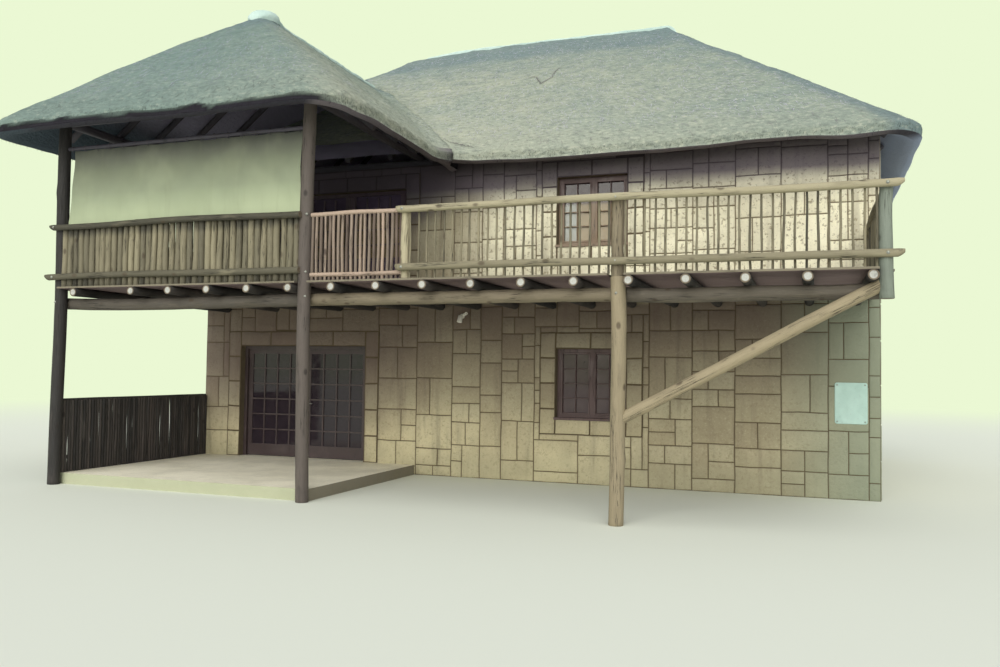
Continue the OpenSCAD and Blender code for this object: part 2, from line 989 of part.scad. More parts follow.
function round_outline(circles) =
    let (n = len(circles))
    [for (i = [0 : n - 1])
        each corner_arc(circles[(i + n - 1) % n], circles[i], circles[(i + 1) % n])];

// Extrudes an outline along the house or across it
module along_x(from, to) {
    rotate([90, 0, 90])
        translate([0, 0, from])
            linear_extrude(to - from)
                children();
}

module along_y(from, to) {
    rotate([90, 0, 0])
        translate([0, 0, -to])
            linear_extrude(to - from)
                children();
}

// The outer form of the thatch, solid: a gable with rounded eaves and ridge, cut to its hips
// by a second outline across it
module main_form() {
    over_run = main_nose_y + 2 * ridge_r;
    left_over_run = left_run + 2 * ridge_r;
    intersection() {
        along_x(-main_w, main_w)
            polygon(round_outline([
                [-main_nose_y, nose_z, nose_r],
                [main_nose_y, nose_z, nose_r],
                [0, main_ridge_z, ridge_r]]));
        along_y(-main_d, main_d)
            polygon(round_outline([
                [main_nose_left, nose_z, nose_r],
                [main_nose_right, nose_z, nose_r],
                [main_nose_right - over_run, nose_z + slope * over_run, nose_r],
                [main_nose_left + left_over_run, nose_z + slope_of_left * left_over_run,
                    nose_r]]));
    }
}

module wing_form() {
    over_run = wing_half + 2 * ridge_r;
    back = wing_ridge_back + wing_run_in;
    high = nose_z + slope * over_run;
    intersection() {
        along_y(2 * wing_nose_front, main_d)
            polygon(round_outline([
                [wing_x - wing_half, nose_z, nose_r],
                [wing_x + wing_half, nose_z, nose_r],
                [wing_x, wing_ridge_z, ridge_r]]));
        along_x(-main_w, main_w)
            polygon(round_outline([
                [wing_nose_front, nose_z, nose_r],
                [y0 + nose_r, nose_z, nose_r],
                [back, high, nose_r],
                [wing_nose_front + over_run, high, nose_r]]));
    }
}

// The space under the thatch: a gable prism cut to its hips by a second prism
module main_void() {
    low = eave_h - 2 * nose_r;
    peak = under_z(main_nose_y);
    right_low = main_hip_line - void_run(low);
    right_high = main_hip_line - void_run(peak + cut);
    half = main_nose_y - void_run(low);
    left_low = left_void_x(low);
    left_high = left_void_x(peak + cut);
    intersection() {
        along_x(-main_w, main_w)
            polygon([[-half, low], [half, low], [0, peak]]);
        along_y(-main_d, main_d)
            polygon([[left_low, low], [right_low, low], [right_high, peak + cut],
                [left_high, peak + cut]]);
    }
}

module wing_void() {
    low = eave_h - 2 * nose_r;
    peak = under_z(wing_half);
    half = wing_half - void_run(low);
    front_low = wing_hip_line + void_run(low);
    front_high = wing_hip_line + void_run(peak + cut);
    intersection() {
        along_y(2 * wing_nose_front, main_d)
            polygon([[wing_x - half, low], [wing_x + half, low], [wing_x, peak]]);
        along_x(wing_x - 2 * wing_half, wing_x + 2 * wing_half)
            polygon([[front_low, low], [main_d, low], [main_d, peak + cut],
                [front_high, peak + cut]]);
    }
}

module main_thatch() {
    color(THATCH)
        difference() {
            main_form();
            main_void();
            intersection() {
                wing_void();
                block(wing_x - 2 * wing_half, 2 * post_y, 0,
                    4 * wing_half, wing_space_back - 2 * post_y, 3 * eave_h);
            }
        }
}

module wing_thatch() {
    color(THATCH)
        difference() {
            wing_form();
            wing_void();
            main_form();
        }
}

// Mortar caps: round bars along the ridges with the thatch taken away
module main_ridge_cap() {
    color(MORTAR)
        difference() {
            union() {
                translate([main_ridge_left, 0, main_ridge_z])
                    sphere(r = ridge_r + cap_t);
                translate([main_ridge_right, 0, main_ridge_z])
                    sphere(r = ridge_r + cap_t);
                pole([main_ridge_left, 0, main_ridge_z], [main_ridge_right, 0, main_ridge_z],
                    2 * (ridge_r + cap_t));
            }
            main_form();
            ridge_underside(main_ridge_z);
        }
}

module wing_ridge_cap() {
    color(MORTAR)
        difference() {
            union() {
                translate([wing_x, wing_ridge_front, wing_ridge_z])
                    sphere(r = ridge_r + cap_t);
                pole([wing_x, wing_ridge_front, wing_ridge_z],
                    [wing_x, wing_ridge_back + wing_run_in, wing_ridge_z],
                    2 * (ridge_r + cap_t));
            }
            wing_form();
            main_form();
            ridge_underside(wing_ridge_z);
        }
}

// Everything below the middle of a ridge
module ridge_underside(z) {
    block(-main_w, -main_w, z - 4 * ridge_r, 2 * main_w, 2 * main_w, 4 * ridge_r);
}

// Plates that carry the rafters
module wing_plate_poles() {
    over = post_d / 2 + plate_tail;
    front = post_y + hip_extra;
    pole([left_x - over, front, wing_plate_z], [middle_x + over, front, wing_plate_z],
        plate_d);
    for (x = [left_x, middle_x])
        pole([x, front + plate_d / 2 + pocket_gap, wing_plate_z],
            [x, y0 + wall_t, wing_plate_z], plate_d);
}

module wing_plates() {
    color(GREY_POLE)
        difference() {
            wing_plate_poles();
            long_plate(-1);
        }
}

// The plate along the front wall or the rear wall
module long_plate(side) {
    y = side * (main_d / 2 - wall_mid);
    pole([x0 + plate_inset, y, main_plate_z], [x0 + main_w - plate_inset, y, main_plate_z],
        plate_d);
}

module wall_plates() {
    end = main_d / 2 - wall_t;
    right = x0 + main_w - wall_mid - hip_extra;
    color(POLE) {
        long_plate(-1);
        long_plate(1);
        pole([right, -end, main_plate_z], [right, end, main_plate_z], plate_d);
        pole([x0 + wall_mid, -left_plate_end, left_plate_z],
            [x0 + wall_mid, left_plate_end, left_plate_z], plate_d);
    }
}

// A rafter on a slope that rises along +Y, from one run to another, left out where too short
module rafter(x, nose_line, run_from, run_to) {
    if (run_to - run_from > jack_gap)
        pole([x, nose_line + run_from, rafter_z(run_from)],
            [x, nose_line + run_to, rafter_z(run_to)], rafter_d);
}

module left_rafter(y, run_to) {
    pole([main_nose_left + tail_run, y, left_rafter_z(tail_run)],
        [main_nose_left + run_to, y, left_rafter_z(run_to)], rafter_d);
}

// A hip rafter between two equal slopes, from an eave corner inward
module hip_rafter(corner, inward, run_from, run_to) {
    pole([corner.x + inward.x * run_from, corner.y + inward.y * run_from, rafter_z(run_from)],
        [corner.x + inward.x * run_to, corner.y + inward.y * run_to, rafter_z(run_to)],
        rafter_d);
}

module left_hip_rafter(side) {
    low = wing_over - nose_r;
    high = main_nose_y - hip_ridge_gap;
    pole([main_nose_left + left_run_at(low), side * (main_nose_y - low), rafter_z(low)],
        [main_nose_left + left_run_at(high), side * (main_nose_y - high), rafter_z(high)],
        rafter_d);
}

// Places spread evenly about a middle, no further apart than the rafters' spacing
function spread(half) =
    let (count = ceil(2 * half / rafter_pitch))
    [for (i = [0 : count]) -half + i * 2 * half / count];

module main_rafters() {
    wall_run = main_nose_y + y0;
    color(POLE) {
        for (x = spread(main_w / 2 - wall_t - rafter_d / 2)) {
            under_wing = x < middle_x + wing_over;
            reach = min(main_nose_y - ridge_gap, main_nose_right - x - jack_gap,
                hip_run_at(x) - jack_gap);
            rafter(x, -main_nose_y, under_wing ? wall_run : tail_run, reach);
            rotate([0, 0, 180])
                rafter(-x, -main_nose_y, tail_run, reach);
        }
        for (y = spread(main_d / 2 - wall_t - rafter_d / 2)) {
            rotate([0, 0, 90])
                rafter(y, -main_hip_line, tail_run, main_nose_y - abs(y) - jack_gap);
            left_rafter(y, left_run_at(main_nose_y - abs(y)) - jack_gap);
        }
        for (side = [-1, 1]) {
            hip_rafter([main_hip_line, side * main_nose_y], [-1, -side], tail_run,
                main_nose_y - hip_ridge_gap);
            left_hip_rafter(side);
        }
    }
}

module wing_rafters() {
    front = wing_nose_front + jack_gap + tail_run;
    last = y0 - rafter_d;
    color(GREY_POLE) {
        for (y = spread((last - front) / 2))
            for (side = [-1, 1])
                translate([wing_x, (front + last) / 2 + y, 0])
                    rotate([0, 0, side * 90])
                        rafter(0, -wing_half, tail_run, min(wing_half - ridge_gap,
                            (front + last) / 2 + y - wing_nose_front - jack_gap));
        for (x = spread(wing_half - wing_over + nose_r))
            rafter(wing_x + x, wing_hip_line, tail_run, wing_half - abs(x) - jack_gap);
        for (side = [-1, 1])
            hip_rafter([wing_x + side * wing_half, wing_hip_line], [-side, 1], tail_run,
                wing_half - hip_ridge_gap);
    }
}

// A twin lamp on the front wall under the deck: a large head that hangs and a small one beside it
module wall_light() {
    base_d = 90;
    base_t = 22;
    arm_d = 24;
    arm_reach = 90;
    arm_end = [0, -arm_reach, arm_d / 3];
    lamp_d = 92;
    lamp_drop = 120;
    lamp_lean = 45;
    spot_d = 56;
    spot_reach = 95;
    spot_rise = 24;
    color(METAL)
        translate([x0 + light_at, y0, deck_z - light_drop]) {
            rotate([90, 0, 0])
                cylinder(d = base_d, h = base_t);
            pole([0, cut - base_t, 0], arm_end, arm_d);
            pole(arm_end, arm_end + [-lamp_lean / 2, -lamp_lean, -lamp_drop], lamp_d);
            pole(arm_end, arm_end + [spot_reach, -lamp_lean, spot_rise], spot_d);
        }
}

floor_slab();
stoep_slab();
upper_floor();
front_wall_left();
front_wall_over_door();
front_wall_right();
upper_front_wall();
left_wall();
right_wall();
rear_wall();
door_frame();
door_leaf_left();
door_glass_left();
door_leaf_right();
door_glass_right();
door_handle();
upper_door_frame();
upper_door_glass();
front_window_frames();
front_window_glass();
side_window_frames();
side_window_glass();
rear_window_frames();
rear_window_glass();
deck_boards();
deck_joists();
front_beam();
left_post();
middle_post();
right_post();
corner_post();
start_post();
brace();
front_left_railing();
left_side_railing();
front_middle_railing();
front_right_railing();
right_end_railing();
stoep_screen();
canvas_blind();
blind_pole();
wing_plates();
wing_rafters();
wing_thatch();
wing_ridge_cap();
wall_plates();
main_rafters();
main_thatch();
main_ridge_cap();
wall_light();
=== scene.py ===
import bpy
import numpy as np
from mathutils import Matrix, Vector


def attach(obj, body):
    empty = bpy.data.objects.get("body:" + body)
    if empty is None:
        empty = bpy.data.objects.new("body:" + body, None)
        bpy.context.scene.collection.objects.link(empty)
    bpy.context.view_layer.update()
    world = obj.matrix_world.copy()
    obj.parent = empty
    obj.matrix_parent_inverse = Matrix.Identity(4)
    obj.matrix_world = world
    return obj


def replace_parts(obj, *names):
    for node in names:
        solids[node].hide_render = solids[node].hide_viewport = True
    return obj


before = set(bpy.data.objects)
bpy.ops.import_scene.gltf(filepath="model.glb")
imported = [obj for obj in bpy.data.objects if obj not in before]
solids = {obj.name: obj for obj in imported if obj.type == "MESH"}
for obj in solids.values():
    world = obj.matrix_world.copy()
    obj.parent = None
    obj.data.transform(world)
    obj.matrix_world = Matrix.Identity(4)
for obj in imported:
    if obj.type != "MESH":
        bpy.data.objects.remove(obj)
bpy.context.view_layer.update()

# Viewpoint, daylight and ground. The house is seen at eye level from the right of its middle,
# under a bright veiled sky, and stands on plain pale ground.
scene = bpy.context.scene
camera = bpy.data.objects.new("camera", bpy.data.cameras.new("camera"))
camera.data.sensor_width, camera.data.lens, camera.data.clip_end = 36.0, 31.5, 300.0
eye = (5.097, -17.978, 1.876)
right_hand = Vector((0.94174, 0.33608, 0.01350)).normalized()
upward = Vector((0.00116, -0.04337, 0.99906)).normalized()
backward = right_hand.cross(upward).normalized()
turn = Matrix((right_hand, backward.cross(right_hand), backward)).transposed()
camera.matrix_world = Matrix.Translation(eye) @ turn.to_4x4()
scene.collection.objects.link(camera)
scene.camera = camera
scene.view_settings.view_transform = "Standard"


def linear(colour):
    """A colour as the shaders mix it; whole numbers are a paint card's, 0 to 255."""
    if isinstance(colour[0], float):
        return colour
    card = np.array(colour) / 255
    return tuple(np.where(card < 0.04045, card / 12.92, ((card + 0.055) / 1.055) ** 2.4))


def put(tree, kind, inputs=None, **settings):
    """One shader node; an input is a value, or the socket that feeds it."""
    made = tree.nodes.new("ShaderNode" + kind)
    for key, value in settings.items():
        setattr(made, key, value)
    for key, value in (inputs or {}).items():
        if isinstance(value, bpy.types.NodeSocket):
            tree.links.new(value, made.inputs[key])
        elif isinstance(value, tuple) and made.inputs[key].type == "RGBA":
            made.inputs[key].default_value = (*linear(value), 1)
        else:
            made.inputs[key].default_value = value
    return made


def feed(node, **sources):
    """Links sockets to a node's named inputs, with _ for a space."""
    for key, source in sources.items():
        node.id_data.links.new(source, node.inputs[key.replace("_", " ")])


def maths(kind, *values):
    """Arithmetic on masks, of which the first is a socket."""
    return put(values[0].id_data, "Math", dict(enumerate(values)), operation=kind).outputs[0]


def times(first, second):
    return maths("MULTIPLY", first, second)


def between(mask, low, high, to_low=0.0, to_high=1.0):
    """The part of a mask between two levels, spread to 0 to 1."""
    return put(mask.id_data, "MapRange", {0: mask, 1: low, 2: high, 3: to_low, 4: to_high},
               interpolation_type="SMOOTHSTEP").outputs[0]


horizon = (235, 248, 212)
sky = bpy.data.worlds.new("veiled_sky")
sky.use_nodes = True
scene.world = sky
tree = sky.node_tree
ray = put(tree, "LightPath").outputs
seen = maths("MAXIMUM", ray["Is Camera Ray"], ray["Is Glossy Ray"])
seen = maths("MAXIMUM", seen, ray["Is Transmission Ray"])
glow = put(tree, "Background", {"Color": (0.93, 0.95, 1.06), "Strength": 0.5}).outputs[0]
haze = put(tree, "Background", {"Color": horizon, "Strength": 1.0}).outputs[0]
feed(tree.nodes["World Output"], Surface=put(tree, "MixShader", {0: seen, 1: glow, 2: haze}).outputs[0])

for label, strength, spread, tint, way in (
        ("veiled_sun", 0.95, 0.9, (1.0, 0.99, 0.96), (0.20, -0.50, 0.95)),
        ("bright_horizon", 2.05, 0.9, (1.0, 0.995, 0.97), (0.10, -1.0, 0.40))):
    lamp = bpy.data.objects.new(label, bpy.data.lights.new(label, "SUN"))
    lamp.data.energy, lamp.data.angle, lamp.data.color = strength, spread, tint
    lamp.rotation_euler = Vector(way).to_track_quat("Z", "Y").to_euler()
    scene.collection.objects.link(lamp)

ground_mesh = bpy.data.meshes.new("ground")
ground_mesh.from_pydata([(-90, -90, 0), (90, -90, 0), (90, 90, 0), (-90, 90, 0)], [], [(0, 1, 2, 3)])
ground = bpy.data.objects.new("ground", ground_mesh)
scene.collection.objects.link(ground)
pale = bpy.data.materials.new("pale_ground")
pale.use_nodes = True
tree = pale.node_tree
matt = tree.nodes["Principled BSDF"]
matt.inputs["Base Color"].default_value = (*linear((226, 230, 214)), 1)
matt.inputs["Roughness"].default_value = 0.95
off = put(tree, "VectorMath", {0: put(tree, "NewGeometry").outputs["Position"]}, operation="LENGTH")
off = put(tree, "MapRange", {0: off.outputs["Value"], 1: 13.0, 2: 40.0}, interpolation_type="SMOOTHSTEP")
off = times(off.outputs[0], put(tree, "LightPath").outputs["Is Camera Ray"])
far = put(tree, "Emission", {"Color": horizon, "Strength": 1.0}).outputs[0]
blend = put(tree, "MixShader", {0: off, 1: matt.outputs[0], 2: far}).outputs[0]
feed(tree.nodes["Material Output"], Surface=blend)
ground_mesh.materials.append(pale)

# Floor slab, stoep slab and upper floor. Concrete cast in place and floated by hand; the
# stoep slab lies along the front wall under the deck, worn smooth and stained by rain.
def effect(name, amount, gives):
    """A shader node group that takes a place and an amount: its tree, its end, both inputs."""
    group = bpy.data.node_groups.new(name, "ShaderNodeTree")
    for label, kind, value in (("Place", "Vector", (0.0, 0.0, 0.0)), (amount, "Float", 1.0)):
        socket = group.interface.new_socket(label, in_out="INPUT", socket_type="NodeSocket" + kind)
        socket.default_value = value
    for label in gives:
        group.interface.new_socket(label, in_out="OUTPUT", socket_type="NodeSocketFloat")
    enters = group.nodes.new("NodeGroupInput").outputs
    return group, group.nodes.new("NodeGroupOutput"), enters["Place"], enters[amount]


def shared(group, place, amount):
    """The outputs of a shared effect at a place."""
    return put(place.id_data, "Group", {0: place, 1: amount}, node_tree=group).outputs


def stretched(place, *factors):
    """A place in the surface, stretched by a factor for each direction."""
    return put(place.id_data, "VectorMath", {0: place, 1: factors}, operation="MULTIPLY").outputs[0]


def scaled(place, factor):
    """A place in the surface, stretched alike in all directions."""
    return put(place.id_data, "VectorMath", {0: place, 3: factor}, operation="SCALE").outputs[0]


def cloudy(place, scale, detail=3.0, rough=0.55):
    """Soft random patches, 0 to 1, at so many patches to the metre."""
    return put(place.id_data, "TexNoise", {"Vector": place, "Scale": scale, "Detail": detail,
                                           "Roughness": rough}).outputs["Fac"]


def apart(vector):
    """The three parts of a vector."""
    return put(vector.id_data, "SeparateXYZ", {0: vector}).outputs


def over(mask, below, above):
    """One colour laid over another where the mask is."""
    return put(mask.id_data, "Mix", {0: mask, 6: below, 7: above}, data_type="RGBA").outputs[2]


def coats(colour, *rows):
    """Colours laid over a first one, each as (colour, mask) for where the mask is, (colour,
    mask, share), or (colour, mask, low, high, share) for its part between two levels."""
    for above, mask, *read in rows:
        if len(read) == 1:
            mask = times(mask, read[0])
        elif read:
            mask = between(mask, read[0], read[1], 0.0, read[2])
        colour = over(mask, colour, above)
    return colour


def graded(mask, *stops):
    """A run of colours over a mask, given as (level, colour) stops."""
    ramp = put(mask.id_data, "ValToRGB", {"Fac": mask})
    for k, (level, colour) in enumerate(stops):
        stop = ramp.color_ramp.elements[k] if k < 2 else ramp.color_ramp.elements.new(level)
        stop.position, stop.color = level, (*linear(colour), 1)
    return ramp.outputs["Color"]


def new_finish(name, roughness=0.85):
    """A material with its tree, its shader and the surface's own place in metres."""
    made = bpy.data.materials.new(name)
    made.use_nodes = True
    shader = made.node_tree.nodes["Principled BSDF"]
    shader.inputs["Roughness"].default_value = roughness
    return made, made.node_tree, shader, put(made.node_tree, "TexCoord").outputs["Object"]


def relief(shader, height, distance, strength=1.0):
    """Fine relief on a surface from a height mask."""
    feed(shader, Normal=put(shader.id_data, "Bump", {"Height": height, "Distance": distance,
                                                     "Strength": strength}).outputs["Normal"])


def dress(finish, *names):
    """Gives the solids of these names a finish of this scene."""
    for name in names:
        solids[name].data.materials[0] = finish


# Stains that rain and splashing leave, shared by stone, concrete, canvas and mortar
weathering, leaves, place, size = effect("weathering", "Size", ["Patches", "Runs", "Specks", "Damp"])
sized = scaled(place, size)
uneven = maths("ADD", apart(place)[2], times(cloudy(sized, 1.7, 4.0), 0.9))
feed(leaves, Patches=between(cloudy(sized, 0.9, 6.0, 0.62), 0.36, 0.66),
     Runs=between(cloudy(stretched(sized, 5.0, 5.0, 0.42), 1.0, 4.0, 0.6), 0.5, 0.74),
     Specks=between(cloudy(sized, 46.0, 2.0, 0.7), 0.60, 0.72), Damp=between(uneven, 1.25, 0.5))

concrete, tree, shader, place = new_finish("worn_concrete", 0.88)
stain = shared(weathering, place, 1.6)
fine = cloudy(place, 120.0, 3.0, 0.7)
facing = apart(put(tree, "NewGeometry").outputs["True Normal"])
# The slabs' faces towards the front are coloured a darker greenish grey and their faces towards +x a darker
# brown: painted shade on their sides.
feed(shader, Base_Color=coats(
    over(stain["Patches"], (252, 246, 220), (230, 224, 198)), ((118, 112, 98), stain["Specks"], 0.5),
    ((208, 203, 182), fine, 0.35, 0.8, 0.35), ((160, 166, 132), facing[1], -0.6, -0.9, 0.8),
    ((104, 96, 80), facing[0], 0.6, 0.9, 0.85)))
relief(shader, maths("ADD", times(fine, 0.3), cloudy(place, 6.0, 5.0)), 0.004)
dress(concrete, "floor_slab", "stoep_slab", "upper_floor")

# Walls of clad masonry. Square and oblong stones of moulded plaster are bedded in columns of
# uneven width, with thin dark joints, and bands of the same stone frame every opening.
def lumps(points, size, seed=0.0):
    """Smooth random height, -1 to 1, over points in space, in lumps of about that size."""
    scaled = np.asarray(points, float) / size
    cell = np.floor(scaled)
    part = scaled - cell
    part = part * part * (3 - 2 * part)
    total = np.zeros(len(scaled))
    for corner in np.ndindex(2, 2, 2):
        mixed = np.sin((cell + corner) @ (127.1, 311.7, 74.7) + seed * 53.1) * 43758.5453
        total += np.prod(np.where(corner, part, 1 - part), axis=1) * (mixed - np.floor(mixed))
    return 2 * total - 1


def shape(name, points, faces, finish, slot, marks=None, flat=()):
    """A piece from points and face lists, with marks on its points that its finish reads."""
    mesh = bpy.data.meshes.new(name)
    faces = [np.asarray(f, np.int32) for f in faces]
    counts = np.concatenate([np.full(len(f), f.shape[1]) for f in faces])
    corners = np.concatenate([f.ravel() for f in faces])
    mesh.vertices.add(len(points))
    mesh.vertices.foreach_set("co", np.asarray(points, np.float32).ravel())
    mesh.loops.add(len(corners))
    mesh.loops.foreach_set("vertex_index", corners)
    mesh.polygons.add(len(counts))
    starts = np.concatenate([[0], np.cumsum(counts)[:-1]]).astype(np.int32)
    mesh.polygons.foreach_set("loop_start", starts)
    mesh.update(calc_edges=True)
    smooth = np.concatenate([np.full(len(f), k not in flat) for k, f in enumerate(faces)])
    mesh.polygons.foreach_set("use_smooth", smooth)
    for label, values in (marks or {}).items():
        values = np.asarray(values, np.float32)
        kind, field = ("FLOAT_VECTOR", "vector") if values.ndim == 2 else ("FLOAT", "value")
        mesh.attributes.new(label, kind, "POINT").data.foreach_set(field, values.ravel())
    mesh.materials.append(finish)
    piece = bpy.data.objects.new(name, mesh)
    scene.collection.objects.link(piece)
    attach(piece, "house")
    return piece


def grid_faces(rows, cols, wrap=False):
    """The four-sided faces between rows of points, closed round each row if wrapped."""
    at = np.arange(rows * cols).reshape(rows, cols)
    if wrap:
        at = np.concatenate([at, at[:, :1]], axis=1)
    return np.stack([at[:-1, :-1], at[:-1, 1:], at[1:, 1:], at[1:, :-1]], -1).reshape(-1, 4)


def mark(tree, label, gives="Fac"):
    """A mark that the mesh carries on its points."""
    return put(tree, "Attribute", attribute_name=label).outputs[gives]


wall_half, wall_deep = 6.05, 3.8
storey = 3.05
band_w, band_out, stone_out, joint = 0.27, 0.024, 0.013, 0.011

stone, tree, shader, place = new_finish("moulded_stone", 0.9)
stain = shared(weathering, place, 1.0)
tone, edge, open_to_sky, sheltered = (mark(tree, m) for m in ("tone", "edge", "open_to_sky", "sheltered"))
x, y, z = apart(place)
grain = cloudy(place, 34.0, 5.0, 0.7)
hammered = cloudy(place, 19.0, 6.0, 0.66)
painted_bright_foot = times(between(z, 1.6, 0.4), between(x, 3.2, 0.6, 0.15, 0.8))
chips = times(between(hammered, 0.44, 0.38), between(open_to_sky, 0.4, 1.0, 0.25, 0.7))
tint = coats(over(between(z, 3.0, 3.1), (88, 68, 70), (114, 110, 110)), ((88, 79, 88), z, 4.86, 5.10, 1.0))
end_shade = times(times(between(x, 4.2, 5.9, 0.0, 0.85), between(z, 3.1, 3.0)), between(y, -3.6, -3.8))
# Painted light and shade in the stone's colour: pale cream where the front wall's upper storey is lit
# beside the wing roof, dark violet grey under that roof, a paler foot low on the walls (strongest left of
# the middle), a shade tint darkening the lower front wall towards the deck and every wall towards the
# eaves, and a greenish grey painted shade at the right end of the lower front wall.
feed(shader, Base_Color=coats(
    graded(tone, (0.0, (166, 154, 125)), (0.5, (183, 173, 141)), (1.0, (200, 191, 158))),
    ((232, 220, 176), painted_bright_foot),
    ((252, 246, 212), open_to_sky, 0.5, 1.0, 0.92), ((86, 76, 84), open_to_sky, 0.5, 0.0, 0.92),
    ((134, 122, 96), stain["Patches"], 0.34), ((108, 96, 80), stain["Runs"], 0.40),
    ((128, 114, 88), grain, 0.52, 0.74, 0.35), ((222, 214, 182), grain, 0.46, 0.28, 0.30),
    ((132, 118, 88), chips), ((120, 106, 82), edge, 1.0, 0.0, 0.35),
    ((132, 132, 104), stain["Damp"], 0.35), (tint, sheltered, 0.72), ((138, 146, 124), end_shade)))
relief(shader, maths("ADD", hammered, times(grain, 0.35)), 0.020, between(tone, 0.5, 0.9, 0.35, 1.0))

bedding, tree, shader, place = new_finish("joints_and_reveals", 0.95)
outer, facing = (apart(put(tree, "VectorMath", {0: way}, operation="ABSOLUTE").outputs[0])
                 for way in (place, put(tree, "NewGeometry").outputs["True Normal"]))
outside = maths("MAXIMUM", *(times(maths("GREATER_THAN", outer[k], reach - 0.002), facing[k])
                             for k, reach in enumerate((wall_half, wall_deep))))
patchy = cloudy(place, 8.0, 5.0, 0.65)
# High on the walls, under the eaves, the outer joints are a darker violet grey: painted shade.
feed(shader, Base_Color=over(
    outside, over(patchy, (120, 108, 84), (92, 80, 62)),
    over(between(apart(place)[2], 4.7, 5.0), over(patchy, (106, 92, 68), (80, 68, 50)),
         over(patchy, (78, 69, 72), (60, 52, 56)))))
relief(shader, cloudy(place, 40.0, 4.0), 0.004)
dress(bedding, "front_wall_left", "front_wall_over_door", "front_wall_right", "upper_front_wall",
      "left_wall", "right_wall", "rear_wall")


def stones_of(chance, high, widths):
    """Oblongs (left, low, right, high) of a wall laid in columns, as a mason fills them."""
    laid = []
    left = 0.0
    for width in widths:
        right = left + width
        low = -chance.uniform(0, 0.2)
        while low < high:
            tall = chance.choice([0.30, 0.42, 0.56, 0.66]) + chance.uniform(-0.03, 0.03)
            base, top = max(low, 0.0), min(low + tall, high)
            middle = left + width * chance.choice([0.38, 0.5, 0.5, 0.62])
            pick = chance.random()
            half = (base + top) / 2
            if pick < 0.38 or width < 0.4:
                laid.append((left, base, right, top))
            elif pick < 0.78 or tall < 0.4:
                laid += [(left, base, middle, top), (middle, base, right, top)]
            elif chance.random() < 0.5:
                laid += [(left, base, middle, top), (middle, base, right, half), (middle, half, right, top)]
            else:
                laid += [(middle, base, right, top), (left, base, middle, half), (left, half, middle, top)]
            low += tall
        left = right
    return laid


def without(laid, hole):
    """The same stones with an oblong hole taken out of them."""
    left, low, right, high = hole
    kept = []
    for a, b, c, d in laid:
        if c <= left or a >= right or d <= low or b >= high:
            kept.append((a, b, c, d))
            continue
        kept += [(a, b, left, d), (right, b, c, d), (max(a, left), b, min(c, right), low),
                 (max(a, left), high, min(c, right), d)]
    return [s for s in kept if s[2] - s[0] > 0.05 and s[3] - s[1] > 0.05]


def band_of(a, b, c, d, foot):
    """The stones of the band round an opening, with no foot under a door."""
    low = b - band_w * foot
    joints = np.linspace(low, d + band_w, 2 + round((d - low) / 0.55))
    laid = [(side, p, side + band_w, q) for side in (a - band_w, c) for p, q in zip(joints, joints[1:])]
    joints = np.linspace(a, c, 1 + round((c - a) / 0.62))
    for base in ([d, low] if foot else [d]):
        laid += [(p, base, q, base + band_w) for p, q in zip(joints, joints[1:])]
    return laid


def clad(name, seed, high, widths, holes, place_of):
    """All the stones of one wall face, as one piece of moulded faces between the joints."""
    chance = np.random.default_rng(seed)
    laid = stones_of(chance, high, widths)
    for a, b, c, d, foot in holes:
        laid = without(laid, (a - band_w, b - band_w * foot, c + band_w, d + band_w))
    laid = [(s, stone_out) for s in laid] + [(s, band_out) for hole in holes for s in band_of(*hole)]
    points, faces, tones, edges = [], [], [], []
    count = 0
    for (a, b, c, d), out in laid:
        lines = []
        for start, end in ((a, c), (b, d)):
            start, end = start + joint / 2, end - joint / 2
            inner = np.linspace(start + 0.016, end - 0.016, max(2, int((end - start) / 0.085)))
            lines.append(np.concatenate([[start, start + 0.004], inner, [end - 0.004, end]]))
        u, v = np.meshgrid(*lines)
        near = np.minimum(np.minimum(u - lines[0][0], lines[0][-1] - u),
                          np.minimum(v - lines[1][0], lines[1][-1] - v)).ravel()
        rise = np.clip(near / 0.010, 0, 1) ** 0.5
        flat = np.stack([u.ravel(), v.ravel(), np.full(u.size, seed * 7.0)], 1)
        rough = chance.choice([0.0010, 0.0022, 0.0038])
        face = lumps(flat, 0.11, count) * rough + lumps(flat, 0.3, count) * 0.0015
        lean = chance.uniform(-0.002, 0.001)
        height = (out + lean) * rise + np.maximum(face, -0.002) * (rise > 0.9)
        points.append(np.stack([flat[:, 0] + lumps(flat, 0.25, 3) * 0.006,
                                flat[:, 1] + lumps(flat, 0.25, 9) * 0.006, height], 1))
        faces.append(grid_faces(*u.shape) + count)
        tones.append(np.full(u.size, chance.uniform(0, 1)))
        edges.append(np.clip(near / 0.014, 0, 1))
        count += u.size
    points = np.stack(place_of(*np.concatenate(points).T), 1)
    x, _, z = points.T
    # Painted light and shade for the stones. On the front wall, the upper storey is painted light beside
    # the wing roof and painted shade under it. Painted shade darkens the lower storey upwards under the
    # deck and the upper storey under the eaves. The other walls are painted a little lighter higher up and
    # shaded under the eaves.
    if name == "front_cladding":
        low = np.clip((4.75 - z) / 0.5, 0, 1)
        beside_wing = np.clip((x + 1.5 + 1.0 * low) / (1.6 + 1.1 * low), 0, 1)
        under_wing = np.clip((-1.0 - x) / 1.5, 0, 1)
        lit = 0.5 + np.clip((z - storey) / 0.3, 0, 1) * (beside_wing - 0.5)
        eave_dark = 4.82 + 0.06 * np.clip((x + 1.0) / 6.0, 0, 1)
        shade = np.where(z < storey, np.clip((z - 1.2 + 0.8 * under_wing) / 1.6, 0, 1),
                         0.5 * np.clip((z - 4.5) / 0.25, 0, 1) + 0.8 * np.clip((z - eave_dark) / 0.2, 0, 1))
    else:
        lit, shade = 0.5 + 0.22 * np.clip(z / 5.0, 0, 1), np.clip((z - 4.8) / 0.6, 0, 1)
    shape(name, points, [np.concatenate(faces)], stone, "stone_cladding", {
        "tone": np.concatenate(tones), "edge": np.concatenate(edges), "open_to_sky": lit,
        "sheltered": shade})


window_w, window_h, sills = 1.2, 1.16, (1.08, 3.98)


def windows_at(*lefts):
    """The openings of windows on both floors, as clad takes them."""
    return [(x, z, x + window_w, z + window_h, 1) for x in lefts for z in sills]


